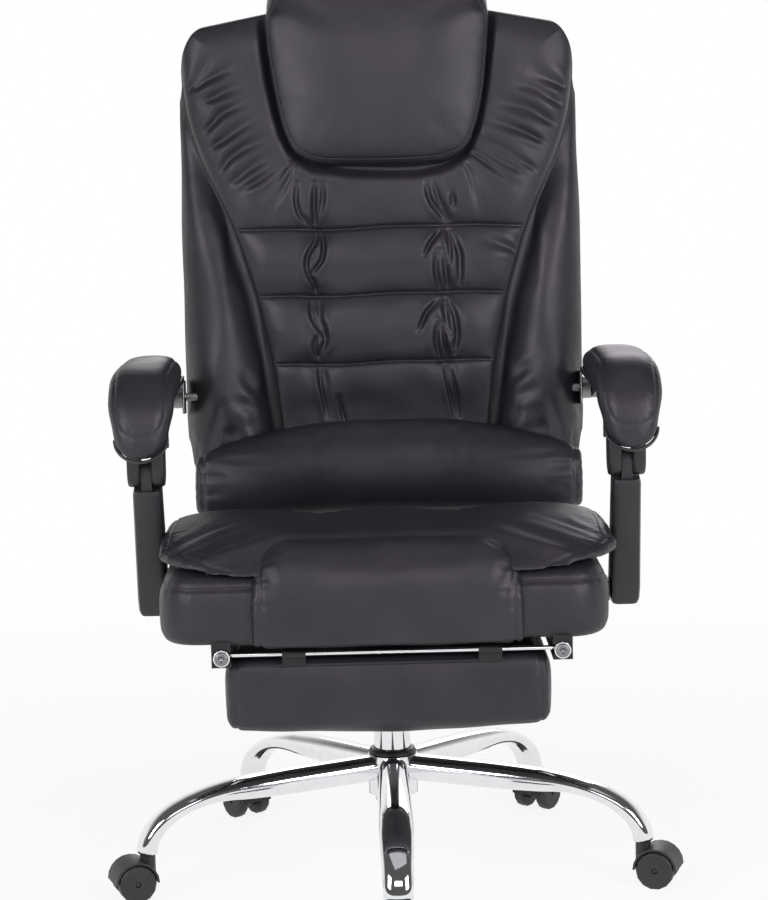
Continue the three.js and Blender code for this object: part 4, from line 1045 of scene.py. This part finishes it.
BASE_PROFILE = [(40, 393), (20, 391), (9, 392.5), (3, 397), (0, 405), (0, 418), (0, 432), (2, 442),
                (5, SEAT_SEAM), (9, 456), (16, 464), (30, 469.5)]
base_obj = evened(profiled("seat_cushion", rounded_plan(284, -272, 190, 52, 40, bow=3), BASE_PROFILE), 6, 3)
height = coordinates(base_obj)[:, 2]
puffed(base_obj, (height < 393) | (height > 462) | (np.abs(height - SEAT_SEAM) < 3.2), 3.0, 8)
places = coordinates(base_obj)
foot_share = np.clip((440 - places[:, 2]) / 49, 0, 1)
places[:, 2] -= FRONT_FOOT_DROP * smoothstep(-places[:, 1], 150, 240) * foot_share
set_coordinates(base_obj, rear_sunk(places))
fitted(base_obj, (-298, -291, None), (282, 193, None))
subdivided(base_obj)
seamed(base_obj, seam_loops(base_obj, (0, 0, SEAT_SEAM), (0, 0, 1))[0], 1.6, 3.5, 0.8, 24, 20, 1)
uneven(base_obj, 0.9, 90, 10)
upholstered(base_obj, "seat", "seat_base_cushion")
piped("seat_piping", seam_loops(base_obj, (0, 0, SEAT_SEAM + 1), (0, 0, 1))[0], "seat", 1.4)

pad_plan = rounded_plan(291, -286, 164, 78, 45, count=240, bow=6)
pad_plan[:, 0] *= 1 - 0.03 * smoothstep(pad_plan[:, 1], -120, 150)


def pad_seam_height(x, y):
    """The pad's edge seam dips from the tips of the lobes to the roll in the middle."""
    front = smoothstep(-y, 185, 268)
    side = 484 - 8 * smoothstep(y, -100, 160)
    dip = 446 + 38 * np.clip((np.abs(x) - 172) / 115, 0, 1) ** 0.95
    return side + (dip - side) * front


def pad_crown(x, y):
    """The height of the pad's middle: highest a little forward, lower towards the backrest."""
    rear = 33 * smoothstep(y, -50, 175)
    front = 7 * np.clip((-80 - y) / 200, 0, 1) ** 2
    sewn = (14 - 12 * smoothstep(y, 60, 140)) * np.exp(-((np.abs(x) - PAD_CHANNEL_X) / 12) ** 2)
    channels = sewn * smoothstep(y, -110, 0) + 3 * np.exp(-(x / 100) ** 4)
    return 507 - rear - front - channels


def pad_form():
    """Rings from the middle of the pad's underside out to its edge seam, and back in over its top."""
    centre = pad_plan.mean(0)
    edge = pad_seam_height(*pad_plan.T)
    rings = []
    for t in (0.1, 0.35, 0.6, 0.75, 0.86, 0.93, 0.97, 0.99):
        plan = centre + (pad_plan - centre) * t
        share = quarter_round(np.linalg.norm(pad_plan - plan, axis=1), 30)
        rings.append(np.column_stack([plan, edge + (PAD_REST - edge) * share]))
    for t in (1.0, 0.995, 0.985, 0.97, 0.95, 0.92, 0.88, 0.83, 0.77, 0.7, 0.6, 0.5, 0.4, 0.3, 0.2, 0.1, 0.04):
        plan = centre + (pad_plan - centre) * t
        share = quarter_round(np.linalg.norm(pad_plan - plan, axis=1), 62, 2.4)
        rings.append(np.column_stack([plan, edge + (pad_crown(*plan.T) - edge) * share]))
    return loft("seat_pad", rings)


pad_edge = np.column_stack([pad_plan, pad_seam_height(*pad_plan.T)])
top_obj = evened(pad_form(), 5.5, 3)
places = coordinates(top_obj)
tied = (np.abs(np.abs(places[:, 0]) - PAD_CHANNEL_X) < 4) & (places[:, 1] > -20) & (places[:, 2] > 474)
resting = (places[:, 2] < 473) & (places[:, 1] > -240)
puffed(top_obj, resting | tied | (to_line(places, pad_edge)[0] < 4), 3.0, 9)
smoothed(top_obj, 12)
set_coordinates(top_obj, rear_sunk(coordinates(top_obj)))
subdivided(top_obj)
fitted(top_obj, (-297, None, None), (292, None, None))
pad_seam = rear_sunk(pad_edge) + np.array([SEAT_SHIFT, 0, 0])
seamed(top_obj, np.vstack([pad_seam, pad_seam[:1]]), 1.4, 3.0, 0.5, 19, 26, 2.0)


def on_surface(obj, line, lift=0.0):
    """The points of a line moved to the nearest place on a piece's surface."""
    corners = [v.co[:] for v in obj.data.vertices]
    tree = BVHTree.FromPolygons(corners, [p.vertices[:] for p in obj.data.polygons])
    found = []
    for p in line:
        place, normal, _, _ = tree.find_nearest(Vector(p) * MM)
        found.append(np.array(place + normal * lift * MM) / MM)
    return np.array(found)


band_plan = drawn_in(pad_plan, 9) + np.array([SEAT_SHIFT, 0])
pad_band = on_surface(top_obj, rear_sunk(np.column_stack([band_plan, pad_edge[:, 2] + 13])))
seamed(top_obj, np.vstack([pad_band, pad_band[:1]]), 1.7, 2.6, 0.8, 18, 30, 3.0)
for folds, depth, width in (([(92, -90, 504), (95, -10, 497), (92, 50, 488), (92, 100, 480)], 3.6, 6),
                            ([(100, 10, 494), (126, -20, 499), (146, -60, 503)], 1.6, 9)):
    both = [[(sign * x, y, z) for x, y, z in folds] for sign in (1, -1)]
    creased(top_obj, [on_surface(top_obj, resampled(fold, 10)) for fold in both], depth, width)
uneven(top_obj, 1.2, 85, 11)
upholstered(top_obj, "seat", "seat_top_pad")


STITCH_LENGTH, STITCH_GAP, STITCH_RADIUS, STITCH_SIDES = 4.2, 2.0, 0.45, 5


def stitches(name, line):
    """A row of sewn stitches lying on a closed line of points, as one piece."""
    line = resampled(line, 1.0, closed=True)
    line = np.vstack([line, line[:1]])
    at = travelled(line)
    places, faces = [], []
    for start in np.arange(0, at[-1] - STITCH_LENGTH, STITCH_LENGTH + STITCH_GAP):
        ends = [np.array([np.interp(start + STITCH_LENGTH * s, at, line[:, k]) for k in range(3)])
                for s in (0, 0.5, 1)]
        ahead = ends[2] - ends[0]
        ahead /= max(np.linalg.norm(ahead), 1e-6)
        side = np.cross(ahead, [0.31, 0.52, 0.79])
        side /= np.linalg.norm(side)
        up = np.cross(ahead, side)
        first = len(places)
        for middle, swell in zip(ends, (0.55, 1.0, 0.55)):
            places += [middle + STITCH_RADIUS * swell * (math.cos(a) * side + math.sin(a) * up)
                       for a in full_turn(STITCH_SIDES)]
        faces += [tuple(first + v for v in f) for f in ring_faces(3, STITCH_SIDES)]
    return outward(mesh_piece(name, places, faces))


inward = np.column_stack([drawn_in(pad_plan, 3.2) - pad_plan, np.full(len(pad_plan), 3.0)])
rows = [stitches(f"seat_pad_stitches_{i}", on_surface(top_obj, pad_band + offset, 0.25))
        for i, offset in enumerate((inward, -inward))]
dressed(joined("seat_pad_stitches", rows), "black_leather", "seat", material=THREAD)

# Front roll

ROLL_HALF = 171.0
ROLL_SEAM = 160
ROLL_LOW, ROLL_HIGH = 376, 502


def roll_form():
    """Sections from the rear foot round the front to the rear top, lower at the roll's shoulders."""
    section = np.array([
        (-262, 380, 0), (-274, 376, 0), (-288, 376, 0), (-296, 381, 0), (-300, 392, 0), (-302, 410, 0),
        (-302.5, 430, 0), (-301, 450, 0), (-297, 468, 0), (-289, 484, 0), (-276, 495, 0), (-258, 501, 0),
        (-240, 502, 0), (-218, 499, 0), (-196, 492, 0), (-186, 480, 0), (-200, 470, 0), (-240, 462, 0),
        (-262, 430, 0)], float)
    dense = resampled(section, 6, closed=True)[:, :2]
    centre = np.array([-262.0, 430.0])
    rings = []
    for share in np.sin(np.linspace(-1, 1, 70) * math.pi / 2):
        place = ROLL_HALF * share
        end = (1 - abs(share) ** 16) ** 0.5
        shoulder = 46 * (1 - math.sqrt(1 - np.clip((abs(place) - 116) / (ROLL_HALF - 114), 0, 1) ** 2))
        shape = centre + (dense - centre) * (0.86 + 0.14 * end)
        z = ROLL_LOW + (shape[:, 1] - ROLL_LOW) * (ROLL_HIGH - shoulder - ROLL_LOW) / (ROLL_HIGH - ROLL_LOW)
        rings.append(np.column_stack([np.full(len(shape), place), shape[:, 0], z]))
    return loft("seat_roll", rings)


roll_obj = evened(roll_form(), 5, 3)
places = coordinates(roll_obj)
held = (places[:, 1] > -225) | (places[:, 2] < 382) | (np.abs(np.abs(places[:, 0]) - ROLL_SEAM) < 4)
puffed(roll_obj, held, 2.5, 6)
smoothed(roll_obj, 5)
subdivided(roll_obj)
end_seams(roll_obj, ROLL_SEAM, 2.0, 3.4, 1.3, 17, 30)
ROLL_FOLDS = [
    [(158, -288, 482), (146, -294, 470), (138, -299, 452)],
    [(162, -296, 462), (152, -300, 450), (148, -302, 432)],
    [(-158, -288, 480), (-148, -294, 468), (-143, -299, 452)],
    [(150, -276, 492), (140, -270, 497), (126, -262, 500)],
    [(-150, -276, 492), (-140, -270, 497), (-128, -262, 500)],
]
creased(roll_obj, ROLL_FOLDS, 1.6, 6)
uneven(roll_obj, 1.0, 110, 12)
fitted(roll_obj, (-177, None, 371), (168, None, 504))
upholstered(roll_obj, "seat", "seat_front_roll")

# Footrest pad

FOOT_HALF = 206.0
FOOT_SEAM = 193.0
FOOT_PROFILE = [(26, 263), (12, 263.5), (4, 267), (0, 276), (0, 300), (0, 330),
                (1.5, 340), (6, 346), (14, 349), (26, 350)]
foot_plan = rounded_plan(FOOT_HALF, -268, -77, 17, 14)
rest_obj = evened(profiled("footrest_cushion", foot_plan, FOOT_PROFILE), 5, 2)
places = coordinates(rest_obj)
puffed(rest_obj, (places[:, 2] > 342) | (np.abs(np.abs(places[:, 0]) - FOOT_SEAM) < 3.5), 2.5, 5)
places = coordinates(rest_obj)
across = (1 - (places[:, 0] / FOOT_HALF) ** 2).clip(0, 1)
places[:, 2] -= 5 * across * smoothstep(-places[:, 2], -345, -262)
set_coordinates(rest_obj, places)
subdivided(rest_obj)
end_seams(rest_obj, FOOT_SEAM, 1.7, 3.0, 0.7, 18, 20)
uneven(rest_obj, 0.9, 100, 13)
fitted(rest_obj, (-216, None, 249), (205, None, 354))
upholstered(rest_obj, "footrest_flap", "footrest_pad")

# Armrests: a padded top that turns down at the front, over a plastic frame

ARM_X = 315.0
ARM_REAR = (198.0, 677.0)
ARM_BEND = (-132.0, 693.0)
ARM_RADIUS = 63.0
ARM_DROP = 24.0
ARM_RISE = 7.0
ARM_STEP = 5.0


def arm_spine():
    """The middle line of the pad with its forward direction, from the rear to the tip of the nose."""
    places = []
    for t in np.linspace(0, 1, 46):
        y, z = (a + (b - a) * t for a, b in zip(ARM_REAR, ARM_BEND))
        places.append((0, y, z + ARM_RISE * math.sin(math.pi * t)))
    for a in np.linspace(0.06, math.pi / 2, 26):
        y, z = ARM_BEND[0] - ARM_RADIUS * math.sin(a), ARM_BEND[1] - ARM_RADIUS * (1 - math.cos(a))
        places.append((0, y, z))
    for t in np.linspace(0.2, 1, 6):
        places.append((0, ARM_BEND[0] - ARM_RADIUS, ARM_BEND[1] - ARM_RADIUS - ARM_DROP * t))
    line = eased(resampled(places, ARM_STEP), 6)
    return line, unit(np.gradient(line, axis=0))


arm_line, arm_ahead = arm_spine()
arm_out = np.column_stack([np.zeros(len(arm_line)), arm_ahead[:, 2], -arm_ahead[:, 1]])


def arm_pad_form(name, side):
    rings = []
    total = len(arm_line) - 1
    for i, (place, out) in enumerate(zip(arm_line, arm_out)):
        share = i / total
        width = 31 + 11.5 * float(smoothstep(share, 0.05, 0.55))
        thick = 17.5 + 8.0 * float(smoothstep(share, 0.0, 0.5))
        to_tip = (total - i) * ARM_STEP
        close = quarter_round(min(i * ARM_STEP, to_tip) + 1.5, 15)
        nose = (0.8 + 0.2 * float(smoothstep(to_tip, 20, 75))) * quarter_round(to_tip + 2, 30)
        tail = 1.0 if to_tip < 60 else 0.72 + 0.28 * close
        across, height = arm_section(width * nose * tail, thick * (0.35 + 0.65 * close))
        centre = np.array([side * ARM_X, place[1], place[2]])
        rings.append([centre + np.array([side * a, 0, 0]) + h * out for a, h in zip(across, height)])
    return loft(name, rings)


def round_tip(side, at, half, count, lift, reach):
    """A half turn round the nose. Lift and reach: a fixed length, and one that grows to the middle."""
    turns = np.linspace(0, math.pi, count)[:, None]
    grown = np.sin(turns)
    return (np.cos(turns) * (side * half, 0, 0) + (side * ARM_X, 0, 0) + arm_line[at]
            + (lift[0] + lift[1] * grown) * arm_out[at] + (reach[0] + reach[1] * grown) * arm_ahead[at])


for side, label in ((1, "left"), (-1, "right")):
    pad_obj = evened(arm_pad_form(f"armrest_pad_{label}", side), 4, 3)
    subdivided(pad_obj)
    edges = [on_surface(pad_obj, (arm_line + 19 * arm_out + (side * (ARM_X + inner * 33), 0, 0))[4:-9])
             for inner in (1, -1)]
    tip = on_surface(pad_obj, round_tip(side, -9, 31, 24, (24, 0), (0, 16)))
    seam = eased(resampled(np.vstack([edges[0], tip, edges[1][::-1]]), 4), 4)
    seamed(pad_obj, on_surface(pad_obj, seam), 1.3, 2.4, 0.5, 18, 14, 14)
    uneven(pad_obj, 0.5, 70, 14)
    upholstered(pad_obj, f"arm_{label}", f"arm_pad_{label}")
    rim = round_tip(side, -6, 34, 30, (0, 14), (1, 28))
    rim_obj = tube(f"armrest_rim_{label}", eased(resampled(rim, 3), 2), 2.2, sides=10)
    dressed(rim_obj, "black_plastic", f"arm_{label}")

# Armrest posts and frames, with softer edges

for member in ("arm_post", "arm_frame"):
    for label in ("left", "right"):
        carried_over(f"{member}_{label}", "black_plastic", 2.5)

# Knuckles: the rounded cheeks under the nose on both sides of the post's tongue

KNEE_Y, KNEE_Z = -120.0, 578.0
CHEEK_RINGS = [(8.3, 0.93), (9.3, 0.985), (11, 1), (20, 1), (22.5, 0.985), (24, 0.94), (24.4, 0.86)]
outline = [(0, KNEE_Y + 21 * math.cos(a), KNEE_Z + 1 + 21 * math.sin(a))
           for a in np.linspace(math.pi, 2 * math.pi, 24)]
outline += [(0, KNEE_Y + y, z) for y, z in ((23, 604), (20, 622), (-20, 622), (-23, 604))]
outline = eased(resampled(outline, 3, closed=True), 3, closed=True)
middle = outline.mean(0)
for side, label in ((1, "left"), (-1, "right")):
    cheeks = []
    for inner in (1, -1):
        rings = [middle + (outline - middle) * full + np.array([side * ARM_X + inner * across, 0, 0])
                 for across, full in CHEEK_RINGS]
        cheeks.append(loft(f"arm_cheek_{label}_{inner}", rings))
    dressed(joined(f"arm_knuckle_{label}", cheeks), "black_plastic", f"arm_{label}")


# Star base: smooth oval legs in place of the frame's faceted ones

LEG_START, LEG_BEND, LEG_TIP = (22.0, 145.0), (215.0, 136.0), (350.0, 62.0)
LEG_STRAIGHT = 0.4
LEG_HEIGHTS = ((0, 0.3, 0.58, 1), (36, 36, 20, 27))
LEG_WIDTHS = ((0, 0.3, 0.6, 1), (38, 45, 45, 38))


def leg_path(t):
    """The middle line of a leg as (distance, height): straight, then a quarter turn down to the caster."""
    if t < LEG_STRAIGHT:
        share = t / LEG_STRAIGHT
        return np.array([a + (b - a) * share for a, b in zip(LEG_START, LEG_BEND)])
    turn = (t - LEG_STRAIGHT) / (1 - LEG_STRAIGHT) * math.pi / 2
    return np.array([LEG_BEND[0] + (LEG_TIP[0] - LEG_BEND[0]) * math.sin(turn),
                     LEG_TIP[1] + (LEG_BEND[1] - LEG_TIP[1]) * math.cos(turn)])


def leg_form(name, angle):
    rings = []
    for t in np.linspace(0, 1, 70):
        here = leg_path(t)
        ahead = unit(leg_path(min(1, t + 0.004)) - leg_path(max(0, t - 0.004)))
        if t > 0.995:
            ahead = np.array([0.0, -1.0])
        up = np.array([-ahead[1], ahead[0]])
        half_wide, half_high = (soft_interp(t, table, 0.08) / 2 for table in (LEG_WIDTHS, LEG_HEIGHTS))
        ring = []
        for a in full_turn(56):
            across = math.copysign(abs(math.cos(a)) ** 0.84, math.cos(a)) * half_wide
            lift = math.copysign(abs(math.sin(a)) ** 0.84, math.sin(a)) * half_high
            reach, z = here + up * lift
            ring.append((reach * math.cos(angle) - across * math.sin(angle),
                         reach * math.sin(angle) + across * math.cos(angle), z))
        rings.append(ring)
    return loft(name, rings)


for i in range(LEGS):
    angle = -math.pi / 2 + 2 * math.pi * i / LEGS
    dressed(leg_form(f"star_leg_{i + 1}", angle), "chromed_steel", "base", [f"base_leg_{i + 1}"])
    for part in ("hood", "wheel_left", "wheel_right"):
        carried_over(f"caster_{i + 1}_{part}", "black_nylon", 1.0)
for member in ("base_hub", "gas_cylinder", "slide_cross_bar", "footrest_rod", "slide_tube_left",
               "slide_tube_right"):
    carried_over(member, "chromed_steel", 0.5)
carried_over("gas_rod", "zinc_steel", 0)
carried_over("column_collar", "black_plastic")

# Screws in the front ends of the slide tubes

TUBE_END = (216.0, -286.0, 360.0)
SCREW_HEAD = [(9, 0), (9, 1.6), (8.4, 2.7), (6.6, 3.3), (4.3, 3.4), (3.8, 3), (3.6, 1)]
for side, label in ((1, "left"), (-1, "right")):
    middle = np.array(TUBE_END) * (side, 1, 1)
    head = [[middle + np.array([r * math.cos(a), -out, r * math.sin(a)]) for a in full_turn(32)]
            for r, out in SCREW_HEAD]
    dressed(loft(f"slide_screw_{label}", head), "zinc_steel", "footrest_frame")

# Cloth cover stapled under the seat board

COVER_INSET = 6
BOARD_LOW, BOARD_HIGH = (np.array(c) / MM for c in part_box("seat_board"))
cover_half = BOARD_HIGH[0] - COVER_INSET
cover_front, cover_rear = BOARD_LOW[1] + COVER_INSET, BOARD_HIGH[1] - COVER_INSET
cover_plan = rounded_plan(cover_half, cover_front, cover_rear, 30, 30)
cover = profiled("seat_dust_cover", cover_plan, [(0, 389.5), (0, 390.3)])
dressed(cover, "black_leather", "seat", material=fabric_material())
